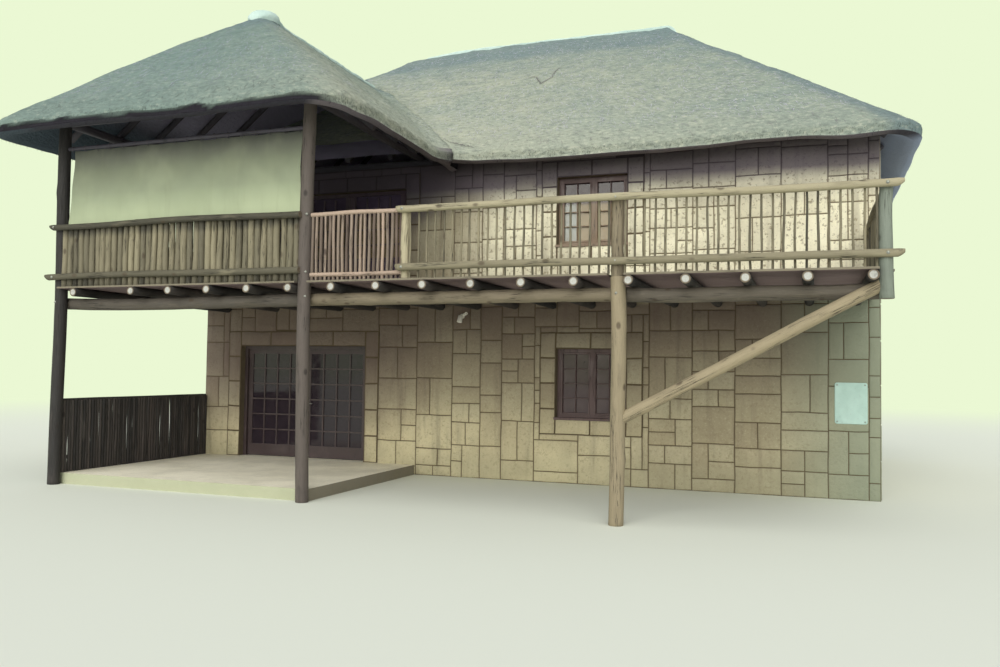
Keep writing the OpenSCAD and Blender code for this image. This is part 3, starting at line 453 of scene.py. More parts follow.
front_columns = [0.81, 0.78, 0.72, 0.70, 0.74, 0.77, 0.68, 0.53, 0.39, 0.59, 0.77, 0.60, 0.57, 0.69,
                 0.66, 0.69, 0.68, 0.57, 0.16]
front_columns[0] -= sum(front_columns) - 2 * wall_half
side_columns = [0.2, 0.74, 0.70, 0.75, 0.72, 0.69, 0.73, 0.76, 0.70, 0.68, 0.73, 0.70, 0.2]
side_columns[5] -= sum(side_columns) - 2 * wall_deep
floor_top, deck_top, deck_under = 0.17, 3.07, 3.042
door_w, door_h, upper_door_w, upper_door_h = 2.68, 2.10, 2.40, 2.04
doors = [(0.81, floor_top, 0.81 + door_w, floor_top + door_h, 0),
         (1.85, deck_top, 1.85 + upper_door_w, deck_top + upper_door_h, 0)]
wall_top, left_top = 5.50, 5.76
clad("front_cladding", 11, wall_top, front_columns, doors + windows_at(7.08),
     lambda u, v, out: (u - wall_half, -wall_deep - out, v))
clad("right_cladding", 12, wall_top, side_columns, windows_at(wall_deep - window_w / 2),
     lambda u, v, out: (wall_half + out, u - wall_deep, v))
clad("left_cladding", 13, left_top, side_columns[::-1], windows_at(wall_deep - window_w / 2),
     lambda u, v, out: (-wall_half - out, wall_deep - u, v))
clad("rear_cladding", 14, wall_top, front_columns[::-1], windows_at(2.425, 8.475),
     lambda u, v, out: (wall_half - u, wall_deep + out, v))

# Door frame, door leaves and window frames. Dark brown varnished hardwood, built into the
# reveals; the leaves hang on barrel hinges and hold four by six panes in slender bars.
grained, leaves, place, fineness = effect("wood_grain", "Fineness", ["Fibre", "Checks", "Knots", "Relief"])
along = scaled(place, fineness)
wander = scaled(put(grained, "TexNoise", {"Vector": along, "Scale": 3.0}).outputs["Color"], 0.012)
warped = put(grained, "VectorMath", {0: along, 1: wander}, operation="ADD").outputs[0]
fibre = cloudy(stretched(warped, 150.0, 150.0, 5.0), 1.0, 5.0, 0.65)
checks = maths("SUBTRACT", cloudy(stretched(warped, 36.0, 36.0, 1.1), 1.0, 3.0, 0.6), 0.5)
gaps = cloudy(stretched(warped, 9.0, 9.0, 1.6), 1.0, 2.0)
checks = times(between(maths("ABSOLUTE", checks), 0.020, 0.004), between(gaps, 0.50, 0.60))
knots = put(grained, "TexVoronoi", {"Vector": stretched(along, 5.0, 5.0, 3.2), "Scale": 1.0,
                                    "Randomness": 1.0}).outputs["Distance"]
feed(leaves, Fibre=fibre, Checks=checks, Knots=between(knots, 0.20, 0.08),
     Relief=maths("SUBTRACT", times(fibre, 0.35), checks))


def low_in_upper_windows(place):
    """The lower part of the first floor's windows, which the eaves don't shade."""
    height = apart(place)[2]
    return times(between(height, 4.74, 4.66), maths("GREATER_THAN", height, 3.9))


def joinery(name, dark, light, paler_low=False):
    """Varnished hardwood with upright grain; if asked, paler low in the upper windows, partly sun-faded and
    partly painted light.
    """
    made, _, shader, place = new_finish(name, 0.42)
    wood = shared(grained, place, 1.3)
    worn = cloudy(place, 3.1, 4.0)
    colour = coats(over(wood["Fibre"], dark, light), ((98, 84, 80), worn, 0.5, 0.75, 0.5))
    if paler_low:
        # Low in the upper windows the wood is paler: partly sun-faded wood, partly painted light where the
        # eaves' shade ends.
        faded_and_lit = over(wood["Fibre"], (114, 95, 75), (142, 120, 96))
        colour = over(low_in_upper_windows(place), colour, faded_and_lit)
    feed(shader, Base_Color=over(wood["Checks"], colour, (34, 26, 28)),
         Roughness=between(worn, 0.35, 0.7, 0.34, 0.62))
    relief(shader, wood["Relief"], 0.0015)
    return made


upright_wood = joinery("upright_hardwood", (56, 44, 46), (84, 70, 68))
dress(upright_wood, "door_frame", "door_leaf_left", "door_leaf_right")
balcony_wood = joinery("balcony_hardwood", (76, 62, 72), (106, 88, 98))
dress(balcony_wood, "upper_door_frame")
window_wood = joinery("window_hardwood", (70, 50, 50), (100, 76, 72), paler_low=True)
dress(window_wood, "front_window_frames", "side_window_frames", "rear_window_frames")

pane, tree, shader, place = new_finish("window_glass", 0.06)
dusty = cloudy(place, 5.0, 5.0, 0.65)
x, _, z = apart(place)
upstairs = maths("GREATER_THAN", z, 3.0)
# The panes are darker violet in the lower door, under the deck, and in the upper windows, under the eaves:
# painted shade.
in_doors = over(upstairs, over(dusty, (50, 42, 50), (84, 72, 78)),
                over(dusty, (108, 92, 116), (138, 122, 146)))
in_windows = over(upstairs, over(dusty, (92, 74, 78), (130, 110, 108)),
                  over(dusty, (74, 58, 62), (108, 88, 90)))
# Low in the first-floor windows the panes are pale tan, partly a curtain behind the glass and partly
# painted light. A pale whitish strip at the left of the front window is a painted reflection.
painted_reflection_strip = times(between(x, 1.36, 1.30), maths("GREATER_THAN", x, 1.0))
curtain_and_reflection = over(painted_reflection_strip, over(dusty, (200, 180, 138), (172, 150, 112)),
               over(dusty, (216, 222, 214), (176, 170, 150)))
feed(shader, Roughness=between(dusty, 0.4, 0.75, 0.04, 0.22), Base_Color=over(
    low_in_upper_windows(place), over(maths("GREATER_THAN", x, 0.0), in_doors, in_windows), curtain_and_reflection))
shader.inputs["Transmission Weight"].default_value = 0.45
shader.inputs["IOR"].default_value = 1.45
dress(pane, "door_glass_left", "door_glass_right", "upper_door_glass", "front_window_glass",
      "side_window_glass", "rear_window_glass")

satin, tree, shader, place = new_finish("satin_metal", 0.36)
brushed = cloudy(stretched(place, 30.0, 30.0, 400.0), 1.0, 3.0)
feed(shader, Base_Color=over(brushed, (150, 150, 144), (186, 186, 180)),
     Roughness=between(brushed, 0.3, 0.7, 0.30, 0.48))
shader.inputs["Metallic"].default_value = 0.7
relief(shader, brushed, 0.0004)
dress(satin, "door_handle")


def bars(oblongs, chamfer=0.004):
    """Points and faces of square-cut bars, each (low corner, high corner), with eased edges."""
    low, high = np.array(oblongs, float).transpose(1, 0, 2)[:, :, None]
    corner = np.array(list(np.ndindex(2, 2, 2)), bool)
    inner, outer = np.where(corner, high - chamfer, low + chamfer), np.where(corner, high, low)
    points = np.where(np.eye(3, dtype=bool), outer[:, :, None], inner[:, :, None])
    at = lambda pair, end, axis, own: 3 * (np.insert(pair, axis, end) @ (4, 2, 1)) + own
    quads = []
    for axis, b, c in ((0, 1, 2), (1, 0, 2), (2, 0, 1)):
        pairs = ((0, 0), (1, 0), (1, 1), (0, 1))
        for end in (0, 1):
            ring = [at(pair, end, axis, axis) for pair in pairs]
            quads.append(ring if (end == 1) == (axis != 1) else ring[::-1])
        for pair in pairs:
            ring = [at(pair, *way) for way in ((0, axis, b), (1, axis, b), (1, axis, c), (0, axis, c))]
            quads.append(ring if (pair[0] == pair[1]) != (axis == 1) else ring[::-1])
    tips = np.arange(24).reshape(8, 3)
    tips = np.where(corner.sum(1, keepdims=True) % 2, tips, tips[:, ::-1])
    step = 24 * np.arange(len(oblongs))[:, None, None]
    return points.reshape(-1, 3), [(np.array(quads) + step).reshape(-1, 4), (tips + step).reshape(-1, 3)]


def turned(points, quarter):
    """Points made for the front wall, carried round to another wall of the house."""
    x, y, z = points.T
    shift = wall_half - wall_deep
    return np.stack([(x, y, z), (shift - y, x, z), (-x, -y, z), (y - shift, -x, z)][quarter], 1)


frame_face = -wall_deep + 0.12
frame_w, mullion_w, sash_w, pane_rows = 0.06, 0.07, 0.03, 4


def casements(x, z):
    """The two sashes of one window, with thin bars and a weather bead, as oblongs."""
    made = []
    light = (window_w - 2 * frame_w - mullion_w) / 2
    near, far = frame_face - 0.008, frame_face + 0.042
    low, high = z + frame_w, z + window_h - frame_w
    for left in (x + frame_w, x + frame_w + light + mullion_w):
        right = left + light
        made += [((left, near, low), (left + sash_w, far, high)),
                 ((right - sash_w, near, low), (right, far, high)),
                 ((left + sash_w, near, low), (right - sash_w, far, low + sash_w)),
                 ((left + sash_w, near, high - sash_w), (right - sash_w, far, high))]
        for k in range(1, pane_rows):
            bar = low + sash_w + k * (high - low - 2 * sash_w) / pane_rows
            made.append(((left + sash_w, near + 0.012, bar - 0.009), (right - sash_w, far, bar + 0.009)))
        middle = (left + right) / 2
        made.append(((middle - 0.007, near + 0.014, low + sash_w), (middle + 0.007, far, high - sash_w)))
    return made + [((x - 0.02, -wall_deep - 0.045, z - 0.03),
                    (x + window_w + 0.02, frame_face + 0.02, z + 0.012))]


for name, quarter, lefts in (("front_sashes", 0, (1.03,)), ("right_sashes", 1, (-0.6,)),
                             ("rear_sashes", 2, (-3.625, 2.425)), ("left_sashes", 3, (-0.6,))):
    points, faces = bars([bar for x in lefts for z in sills for bar in casements(x, z)])
    shape(name, turned(points, quarter), faces, window_wood, "dark_wood", flat=(0, 1))

upper_left, upper_right, upper_high = -4.2, -1.8, 5.11
stile_w, bar_half = 0.09, 0.012
upper_bars = []
leaf = (upper_right - upper_left - 2 * frame_w) / 2
for left in (upper_left + frame_w, upper_left + frame_w + leaf):
    for k in (0, 1):
        side = left + bar_half + k * (leaf - 2 * bar_half - stile_w)
        upper_bars.append(((side, frame_face - 0.01, deck_top + 0.012),
                           (side + stile_w, frame_face + 0.04, upper_high - 0.07)))
    for k in range(1, 6):
        bar = deck_top + 0.22 + k * (upper_high - 0.12 - deck_top - 0.22) / 6
        upper_bars.append(((left + 0.1, frame_face, bar - bar_half),
                           (left + leaf - 0.1, frame_face + 0.04, bar + bar_half)))
    for k in range(1, 4):
        bar = left + 0.1 + k * (leaf - 0.2) / 4
        upper_bars.append(((bar - bar_half, frame_face + 0.002, deck_top + 0.2),
                           (bar + bar_half, frame_face + 0.04, upper_high - 0.1)))
points, faces = bars(upper_bars)
shape("upper_door_bars", points, faces, balcony_wood, "dark_wood", flat=(0, 1))

# Posts, brace, beam and joists. Round gum poles, debarked and weathered, bent and knotty as they
# grew, seated into each other and bolted; the joists' sawn ends carry dabs of pale paint.
def pole_finish(name, darkest, middle, lightest, knot):
    """Weathered round pole: fibres along it, drying checks, knots and grey patches."""
    made, tree, shader, place = new_finish(name, 0.8)
    tone, end, own = mark(tree, "tone"), mark(tree, "end"), mark(tree, "grain", "Vector")
    wood, stain = shared(grained, own, 1.0), shared(weathering, place, 2.2)
    pale = tuple(min(1.0, c * 1.55) for c in linear(middle))
    dark = tuple(c * 0.45 for c in linear(middle))
    blotch = cloudy(stretched(own, 6.0, 6.0, 1.4), 1.0, 4.0)
    from_heart = put(tree, "VectorMath", {0: mark(tree, "section", "Vector")},
                     operation="LENGTH").outputs["Value"]
    sawn = over(between(maths("SINE", times(from_heart, 900.0)), -1.0, 1.0), (128, 114, 92), (88, 78, 66))
    uneven = maths("ADD", from_heart, times(cloudy(place, 30.0), 0.012))
    dabbed = times(between(end, 1.4, 1.9), between(uneven, 0.053, 0.045))
    dabs = over(cloudy(place, 60.0, 3.0), (158, 157, 148), (206, 206, 196))
    feed(shader, Roughness=between(wood["Fibre"], 0.2, 0.8, 0.66, 0.92), Base_Color=coats(
        graded(tone, (0.0, darkest), (0.5, middle), (1.0, lightest)),
        (dark, wood["Fibre"], 0.5, 0.8, 0.55), (pale, wood["Fibre"], 0.45, 0.2, 0.5),
        (dark, blotch, 0.52, 0.72, 0.4), (pale, blotch, 0.44, 0.26, 0.35),
        (knot, wood["Knots"], 0.75), ((34, 29, 26), wood["Checks"], 0.85), (dark, stain["Specks"], 0.4),
        (sawn, end, 0.5, 0.9, 1.0), (dabs, dabbed)))
    relief(shader, wood["Relief"], 0.004, 0.9)
    return made


grey_pole, tan_pole, straw_pole, red_pole, green_pole = (pole_finish(*tones) for tones in (
    ("grey_poles", (38, 36, 36), (84, 76, 71), (124, 113, 102), (40, 34, 31)),
    ("tan_poles", (84, 78, 70), (138, 126, 102), (176, 162, 128), (74, 60, 46)),
    ("straw_poles", (68, 65, 54), (142, 134, 108), (200, 190, 156), (78, 66, 50)),
    ("reddish_poles", (84, 68, 60), (130, 116, 102), (182, 160, 140), (66, 52, 46)),
    ("lichened_poles", (100, 106, 96), (130, 138, 124), (160, 166, 148), (84, 84, 74))))


def line_of(start, end):
    """A straight line: where it starts, how long it is, its way and two ways across it."""
    start, end = np.array(start, float), np.array(end, float)
    long = np.linalg.norm(end - start)
    axis = (end - start) / long
    across = np.cross(axis, (0, 0, 1) if abs(axis[2]) < 0.9 else (0, 1, 0))
    across /= np.linalg.norm(across)
    return start, end, long, axis, across, np.cross(axis, across)


def round_pole(start, end, wide, seed, tone, checks=0, taper=0.0, sides=12, step=0.15, bend=0.010,
               lumpy=0.035, knobs=1.6, tips=(0.0, 0.0), painted=False):
    """One pole as it grew: bent, tapered and knotty, checked by drying, its ends sawn off."""
    chance = np.random.default_rng(seed)
    start, end, long, axis, across, up = line_of(start, end)
    s = np.linspace(0, long, max(3, int(long / step)) + 1)
    extra = np.array([0.15, 0.4, 0.7, 0.92, 1.0])
    if tips[0]:
        s = np.concatenate([-tips[0] * extra[::-1], s])
    if tips[1]:
        s = np.concatenate([s, long + tips[1] * extra])
    s = np.concatenate([[s[0], s[0] + 0.006], s[1:-1], [s[-1] - 0.006, s[-1]]])
    share = np.clip(s / long, 0, 1)
    line = start + np.outer(s, axis)
    for wave in (1, 2, 3):
        swing = np.sin(np.pi * wave * share + chance.uniform(-0.3, 0.3) * (wave > 1)) * bend / wave
        line += np.outer(swing * chance.normal(), across) + np.outer(swing * chance.normal(), up)
    sa, aa = np.meshgrid(s, np.linspace(0, 2 * np.pi, sides, endpoint=False), indexing="ij")
    radius = wide / 2 * (1 - taper * share)[:, None] * (1 + 0.025 * np.cos(2 * aa + chance.uniform(0, 6)))
    flat = np.stack([np.cos(aa).ravel() * wide, np.sin(aa).ravel() * wide, sa.ravel()], 1)
    radius = radius * (1 + lumpy * lumps(flat, max(0.22, wide * 1.5), seed % 97).reshape(sa.shape))
    off = lambda round_to: (aa - round_to + np.pi) % (2 * np.pi) - np.pi
    for _ in range(int(long * knobs)):
        at, round_to = chance.uniform(0.04, long - 0.04), chance.uniform(-np.pi, np.pi)
        radius = radius * (1 + chance.uniform(0.04, 0.13) * np.exp(
            -((sa - at) / (0.02 + wide * 0.3)) ** 2 - (off(round_to) / 0.5) ** 2))
    for _ in range(checks):
        round_to, at = chance.uniform(-np.pi, np.pi), chance.uniform(0, long)
        half = chance.uniform(0.4, 1.2)
        drift = round_to + 0.25 * np.sin(sa * 1.3 + round_to) + 0.1 * sa / max(long, 1)
        radius = radius * (1 - 0.10 * np.exp(-(off(drift) / 0.09) ** 2)
                           * np.clip(1.2 - abs(sa - at) / half, 0, 1))
    worn = np.ones(len(s))
    worn[[0, -1]] = 0.94
    for reach, beyond in zip(tips, (-s, s - long)):
        if reach:
            worn *= 1 - 0.55 * np.clip(beyond / reach, 0, 1) ** 1.6
    radius *= worn[:, None]
    if max(tips):
        line[:, 2] += (1 - worn) * wide * 0.4
    x, y = radius * np.cos(aa), radius * np.sin(aa)
    points = (line[:, None] + x[..., None] * across + y[..., None] * up).reshape(-1, 3)
    rows, cols = sa.shape
    own = [np.stack([x, y, sa], -1).reshape(-1, 3)]
    section, ends, caps, whole = [np.zeros((rows * cols, 3))], np.ones((rows + 2) * cols + 2), [], [points]
    ends[:rows * cols] = 0
    if painted:
        ends[-cols - 1:] = 2.0
    for k, row in enumerate((0, rows - 1)):
        base = len(points) + k * (cols + 1)
        ring = points[row * cols:(row + 1) * cols]
        whole += [ring, [ring.mean(0) + axis * (-0.003 if k else 0.003)]]
        section += [np.stack([x[row], y[row], np.zeros(cols)], 1), [(0, 0, 0)]]
        caps += [(base + cols, base + (j + 1) % cols, base + j)[::-1 if k else 1] for j in range(cols)]
    section = np.concatenate(section)
    grain = np.concatenate(own + [section[len(points):]]) + chance.uniform(-40, 40, 3)
    points = np.concatenate(whole)
    return points, grid_faces(rows, cols, True), np.array(caps), {
        "grain": grain, "tone": np.full(len(points), tone), "end": ends, "section": section}


def together(parts):
    """Parts, each given as points and face lists, as one."""
    points, *lists = zip(*parts)
    first = np.cumsum([0] + [len(p) for p in points])
    return (np.concatenate(points),
            [np.concatenate([f + n for f, n in zip(faces, first)]) for faces in lists])


def joined(marks):
    """The marks of several parts as one."""
    return {label: np.concatenate([m[label] for m in marks]) for label in marks[0]}


def pole_work(name, poles, finish, slot_name, *stands_for):
    """Poles that are one node of the frame, laid as one piece that stands for it."""
    points, faces = together([pole[:3] for pole in poles])
    piece = shape(name, points, faces, finish, slot_name, joined([pole[3] for pole in poles]), flat=(1,))
    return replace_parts(piece, *stands_for) if stands_for else piece


post_x = (-6.05, -1.58, 2.84)
post_y, post_face = -7.38, -7.475
upper_y, start_y = -7.395, -7.42
rail_y, low_rail, top_rail = -7.5105, 3.22, 4.0
corner_x, start_x = 5.88, -0.04
eave_high, post_high = 5.66, 4.02
beam_y, beam_z = -7.235, 2.83
stout = {"sides": 44, "step": 0.05, "bend": 0.014, "lumpy": 0.03, "knobs": 1.1}
for name, finish, slot_name, node, poles in (
        ("left_post_pole", grey_pole, "grey_poles", "left_post",
         [(post_x[0], post_y, 0, eave_high, 0.19, 101, 0.03, 5)]),
        ("middle_post_pole", grey_pole, "grey_poles", "middle_post",
         [(post_x[1], post_y, 0, eave_high, 0.186, 102, 0.6, 5)]),
        ("right_post_poles", tan_pole, "brown_poles", "right_post",
         [(post_x[2], post_y, 0, 3.04, 0.19, 103, 0.62, 4),
          (post_x[2], upper_y, 3.03, post_high, 0.15, 104, 0.45, 2)]),
        ("corner_post_pole", green_pole, "brown_poles", "corner_post",
         [(corner_x, upper_y, 2.722, post_high, 0.16, 105, 0.42, 3, 0.14)]),
        ("start_post_pole", straw_pole, "straw_poles", "start_post",
         [(start_x, start_y, deck_top, post_high, 0.11, 106, 0.8, 1)])):
    pole_work(name, [round_pole((x, y, low), (x, y, high), *own, **stout)
                     for x, y, low, high, *own in poles], finish, slot_name, node)
brace_foot, brace_head = (post_x[2], post_y, 1.27), (5.85, post_y, 2.895)
pole_work("brace_pole", [round_pole(brace_foot, brace_head, 0.15, 107, 0.72, 4, **stout)],
          tan_pole, "brown_poles", "brace")
joins = (-6.14, -1.60, post_x[2], 5.95)
pole_work("front_beam_poles", [
    round_pole((a, beam_y, beam_z), (b, beam_y, beam_z), 0.178, 108 + k, tone, 4, **stout)
    for k, (a, b, tone) in enumerate(zip(joins, joins[1:], (0.0, 0.36, 0.06)))],
    tan_pole, "brown_poles", "front_beam")


def welded(name):
    """The separate solids of a node, each as its own points."""
    mesh = solids[name].data
    co = np.zeros(len(mesh.vertices) * 3)
    mesh.vertices.foreach_get("co", co)
    co = co.reshape(-1, 3)
    same = np.unique(co.round(4), axis=0, return_inverse=True)[1].ravel()
    ends = np.zeros(len(mesh.edges) * 2, np.int64)
    mesh.edges.foreach_get("vertices", ends)
    ends = same[ends.reshape(-1, 2)]
    label, least = None, np.arange(same.max() + 1)
    while label is None or (least != label).any():
        label, least = least, least.copy()
        np.minimum.at(least, ends[:, 0], label[ends[:, 1]])
        np.minimum.at(least, ends[:, 1], label[ends[:, 0]])
        least = least[least]
    return [co[label[same] == k] for k in np.unique(label[same])]


def lines_of(name):
    """Where each pole of a node starts and ends, from its solid."""
    found = []
    for own in welded(name):
        middle = (own.min(0) + own.max(0)) / 2
        way = np.linalg.svd(own - own.mean(0), full_matrices=False)[2][0]
        reach = (own - middle) @ way
        side = own - middle - np.outer(reach, way)
        centre = middle + (side.max(0) + side.min(0)) / 2
        found.append((centre + way * reach.min(), centre + way * reach.max()))
    return found


joists, joist_z = [], 2.975
for k, (a, b) in enumerate(sorted(lines_of("deck_joists"), key=lambda line: line[0][0])):
    x = (a[0] + b[0]) / 2
    joists.append(round_pole((x, -3.65, joist_z), (x, -7.60, joist_z), 0.136, 200 + k, 0.1 * (k % 3),
                             taper=0.06, sides=20, step=0.12, bend=0.005, lumpy=0.025, painted=True))
pole_work("deck_joist_poles", joists, grey_pole, "grey_poles", "deck_joists")

# Railings of the deck and the stoep's lath screen. Two rails each way, bolted to the posts and
# tapered where they run on past them, and slender peeled sticks, no two alike, nailed upright
# behind the rails or set between them.
thin = {"sides": 9, "step": 0.09, "bend": 0.0045, "lumpy": 0.07, "knobs": 2.5}
rail = {"sides": 24, "step": 0.07, "bend": 0.008, "lumpy": 0.045, "knobs": 1.2, "checks": 3}
both_rails = (low_rail, top_rail)
rail_w, slat_w, slat_pitch, lath_w, lath_pitch = 0.094, 0.086, 0.107, 0.042, 0.121


def sticks(chance, places, wide, top, tone, spread, foot=deck_top):
    """A row of upright sticks, each a little off plumb and off size."""
    made = []
    for x, y in places:
        lean = chance.normal(0, 0.003, 2)
        size = wide * chance.uniform(0.93, 1.06)
        seed, own = int(chance.integers(1, 9999)), float(np.clip(chance.normal(tone, spread), 0, 1))
        made.append(round_pole((x, y, foot), (x + lean[0], y, top), size, seed, own,
                               taper=chance.uniform(0, 0.16), **thin))
    return made


def even(low, high, wide, pitch, inset=0.0):
    """Where sticks stand between two places, as many as fit at about that pitch."""
    room = (high - inset) - (low + inset) - wide
    gaps = int(room // pitch)
    return [low + (inset + wide / 2) + k * (room / gaps) for k in range(gaps + 1)]


def rails(start, end, seed, tone, wide=rail_w, heights=both_rails, **own):
    """Level rails, one above the other."""
    return [round_pole((*start, z), (*end, z), wide, seed + k, tone, **{**rail, **own})
            for k, z in enumerate(heights)]


chance = np.random.default_rng(31)
slat_y = rail_y + 0.0475 - 0.008 + slat_w / 2
places = [(x, slat_y) for x in even(post_x[0] + 0.1, post_x[1] - 0.1, slat_w, slat_pitch)]
left_sticks = sticks(chance, places, 0.099, 4.01, 0.36, 0.10)
# These sticks are painted darker just under the top rail and at their feet by the low rail: painted shade
# of the rails.
for stick in left_sticks:
    z = stick[0][:, 2]
    stick[3]["tone"] -= 0.30 * np.clip((z - 3.82) / 0.10, 0, 1) + 0.25 * np.clip((3.19 - z) / 0.03, 0, 1)
rail_end = -1.6275
pole_work("front_left_railing_poles",
          rails((-6.14, rail_y), (rail_end, rail_y), 301, 0.10, heights=[low_rail], tips=(0.09, 0))
          + rails((-6.07, rail_y), (rail_end, rail_y), 302, 0.0, heights=[top_rail], tips=(0.09, 0))
          + left_sticks, straw_pole, "straw_poles", "front_left_railing")
low, high = post_y + 0.083, -wall_deep
places = [(post_x[0], y) for y in even(low, high, slat_w, slat_pitch, 0.005)]
pole_work("left_side_railing_poles", rails((post_x[0], low), (post_x[0], high), 310, 0.2)
          + sticks(chance, places, 0.093, 3.99, 0.3, 0.15),
          straw_pole, "straw_poles", "left_side_railing")
low, high = post_x[1] + 0.083, start_x - 0.043
places = [(x, start_y) for x in even(low, high, lath_w, 0.068, 0.005)]
pole_work("front_middle_railing_poles",
          rails((low, start_y), (high, start_y), 320, 0.95, 0.062, (deck_top + 0.09, top_rail), bend=0.005)
          + sticks(chance, places, 0.044, 3.99, 0.36, 0.24),
          red_pole, "red_poles", "front_middle_railing")
places = [(x, slat_y - 0.022)
          for low, high in ((start_x + 0.06, post_x[2] - 0.08), (post_x[2] + 0.08, corner_x - 0.085))
          for x in even(low, high, lath_w, lath_pitch)]
pole_work("front_right_railing_poles", [
    round_pole((start_x - 0.055, rail_y, z), (5.975, rail_y, z), rail_w, 331 + k, 0.42 + 0.25 * k,
               tips=(0.05, 0.08), **rail) for k, z in enumerate(both_rails)]
    + sticks(chance, places, 0.030, 4.01, 0.30, 0.10), straw_pole, "straw_poles", "front_right_railing")
low, high = post_face + 0.148, -wall_deep
places = [(corner_x, y) for y in even(low, high, lath_w, lath_pitch, 0.005)]
pole_work("right_end_railing_poles", rails((corner_x, low), (corner_x, high), 340, 0.4)
          + sticks(chance, places, 0.042, 3.99, 0.3, 0.15),
          straw_pole, "straw_poles", "right_end_railing")
low, lath_step, inset = post_y + 0.1, 0.058, 0.023
count = int((-wall_deep - 0.005 - inset - low - inset) // lath_step) + 1
places = [(post_x[0] + 0.031, low + inset + k * lath_step) for k in range(count)]
pole_work("stoep_screen_poles",
          rails((post_x[0], post_y + 0.083), (post_x[0], -wall_deep), 350, 0.1, 0.062, (0.402, 1.299),
                bend=0.006)
          + sticks(chance, places, 0.053, 1.30, 0.20, 0.10, foot=floor_top),
          grey_pole, "grey_poles", "stoep_screen")

# Deck boards and roof timbers. Sawn boards nailed over the joists, grey with weather; round
# wall plates and rafters carry the roof, dark violet grey, partly aged wood and partly painted shade.
boards, tree, shader, place = new_finish("deck_boards", 0.85)
x, y, z = apart(place)
row = maths("FLOOR", times(maths("ADD", y, 7.55), 1 / 0.145))
own_tone = put(tree, "TexWhiteNoise", {"W": row}, noise_dimensions="1D").outputs["Value"]
lengthwise = put(tree, "CombineXYZ", {0: y, 1: maths("ADD", z, row), 2: x}).outputs[0]
wood = shared(grained, lengthwise, 1.0)
# The front board's front edge is painted lighter, as painted light, and the boards' undersides a violet
# grey, a painted tint of the shade under the deck.
feed(shader, Base_Color=coats(
    graded(own_tone, (0.0, (78, 70, 62)), (0.5, (104, 96, 84)), (1.0, (130, 120, 104))),
    ((58, 50, 44), wood["Fibre"], 0.35, 0.75, 0.6), ((34, 28, 26), wood["Checks"]),
    (over(wood["Fibre"], (146, 138, 116), (104, 96, 80)), y, -7.535, -7.545, 1.0),
    ((122, 102, 104), between(z, 3.0445, 3.0425), 0.85)))
relief(shader, wood["Relief"], 0.003)
chance = np.random.default_rng(71)
found = np.array([(*own.min(0), *own.max(0)) for own in welded("deck_boards")])
laid = []
posts_through = [(post_x[0], post_y, 0.096), (post_x[1], post_y, 0.096), (post_x[2], upper_y, 0.096),
                 (corner_x, upper_y, 0.081)]
for near in np.unique(found[:, 1].round(3)):
    same = found[abs(found[:, 1] - near) < 0.002]
    notches = [(x - r - 0.004, x + r + 0.004) for x, y, r in posts_through if near < y + r]
    ends = [same[:, 0].min(), *np.ravel(notches), same[:, 3].max()]
    for a, b in zip(ends[::2], ends[1::2]):
        if b - a > 0.3:
            cup = chance.uniform(-0.0015, 0)
            laid.append(((a, near + 0.0015, deck_under), (b, same[:, 4].max() - 0.0015, deck_top + cup)))
points, faces = bars(laid, 0.003)
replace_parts(shape("sawn_boards", points, faces, boards, "deck_boards", flat=(0, 1)), "deck_boards")

# The roof poles, the blind pole and its lacing share a dark violet grey: partly aged wood, partly painted
# shade under the thatch.
shade_dark_pole = pole_finish("roof_poles", (68, 66, 74), (84, 80, 88), (100, 94, 98), (48, 45, 50))
plate_w, rafter_w = 0.138, 0.108
for name, slot_name, wide in (("wall_plates", "brown_poles", plate_w),
                              ("wing_plates", "grey_poles", plate_w),
                              ("main_rafters", "brown_poles", rafter_w),
                              ("wing_rafters", "grey_poles", rafter_w)):
    laid = []
    for k, (a, b) in enumerate(sorted(line, key=lambda p: p[2]) for line in lines_of(name)):
        if "rafters" in name:
            a = a + (b - a) * 0.16 / np.linalg.norm(b - a)
        laid.append(round_pole(a, b, wide, 400 + 7 * k, 0.2 + 0.6 * (k * 7 % 10) / 10, sides=14, step=0.22,
                               bend=0.004, lumpy=0.02, knobs=0.5))
        # The plates' and rafters' sawn ends keep the body's dark colour, as painted shade.
        laid[-1][3]["end"][:] = 0
    pole_work(name + "_poles", laid, shade_dark_pole, slot_name, name)

# Main thatch and wing thatch. Grass thatch a quarter of a metre thick, combed down the slopes
# and round the soft hips, cut to a rounded eave; a bluish grey band along the ridges and hips is painted
# shade.
pitch, left_pitch = np.radians(38.2), np.radians(46.34)
slope = np.tan(pitch)
thick, nose_r, ridge_r, eave_z = 0.25, 0.15, 0.2, 5.34
crown_swell, rim_turn, valley_r = 0.035, 0.09, 0.6
nose_z = eave_z + nose_r
nose_y, nose_left, nose_right = 4.25, -6.79, 6.5
ridge_z, ridge_left, ridge_right = 8.7708, -3.59, 2.25
wing_x, wing_half, wing_front, wing_ridge_z = -3.815, 2.935, -8.08, 7.736
peak_y = wing_front + wing_half - 0.22

thatch, tree, shader, place = new_finish("weathered_thatch", 0.94)
shader.inputs["Specular IOR Level"].default_value = 0.2
straw_place = mark(tree, "straw", "Vector")
near_ridge, down, under, mossy = (mark(tree, label) for label in ("near_ridge", "down", "under", "mossy"))
straws = cloudy(stretched(straw_place, 90.0, 16.0, 90.0), 1.0, 5.0, 0.7)
tufts = cloudy(stretched(straw_place, 10.0, 16.0, 10.0), 1.0, 5.0, 0.66)
mottled = cloudy(stretched(straw_place, 2.6, 4.6, 2.6), 1.0, 6.0, 0.66)
broad = cloudy(stretched(straw_place, 0.45, 0.6, 0.45), 1.0, 3.0)
clean = between(mossy, 0.3, 1.0, 1.0, 0.35)
flecks = times(between(tufts, 0.47, 0.32), maths("ADD", times(down, 0.5), 0.25))
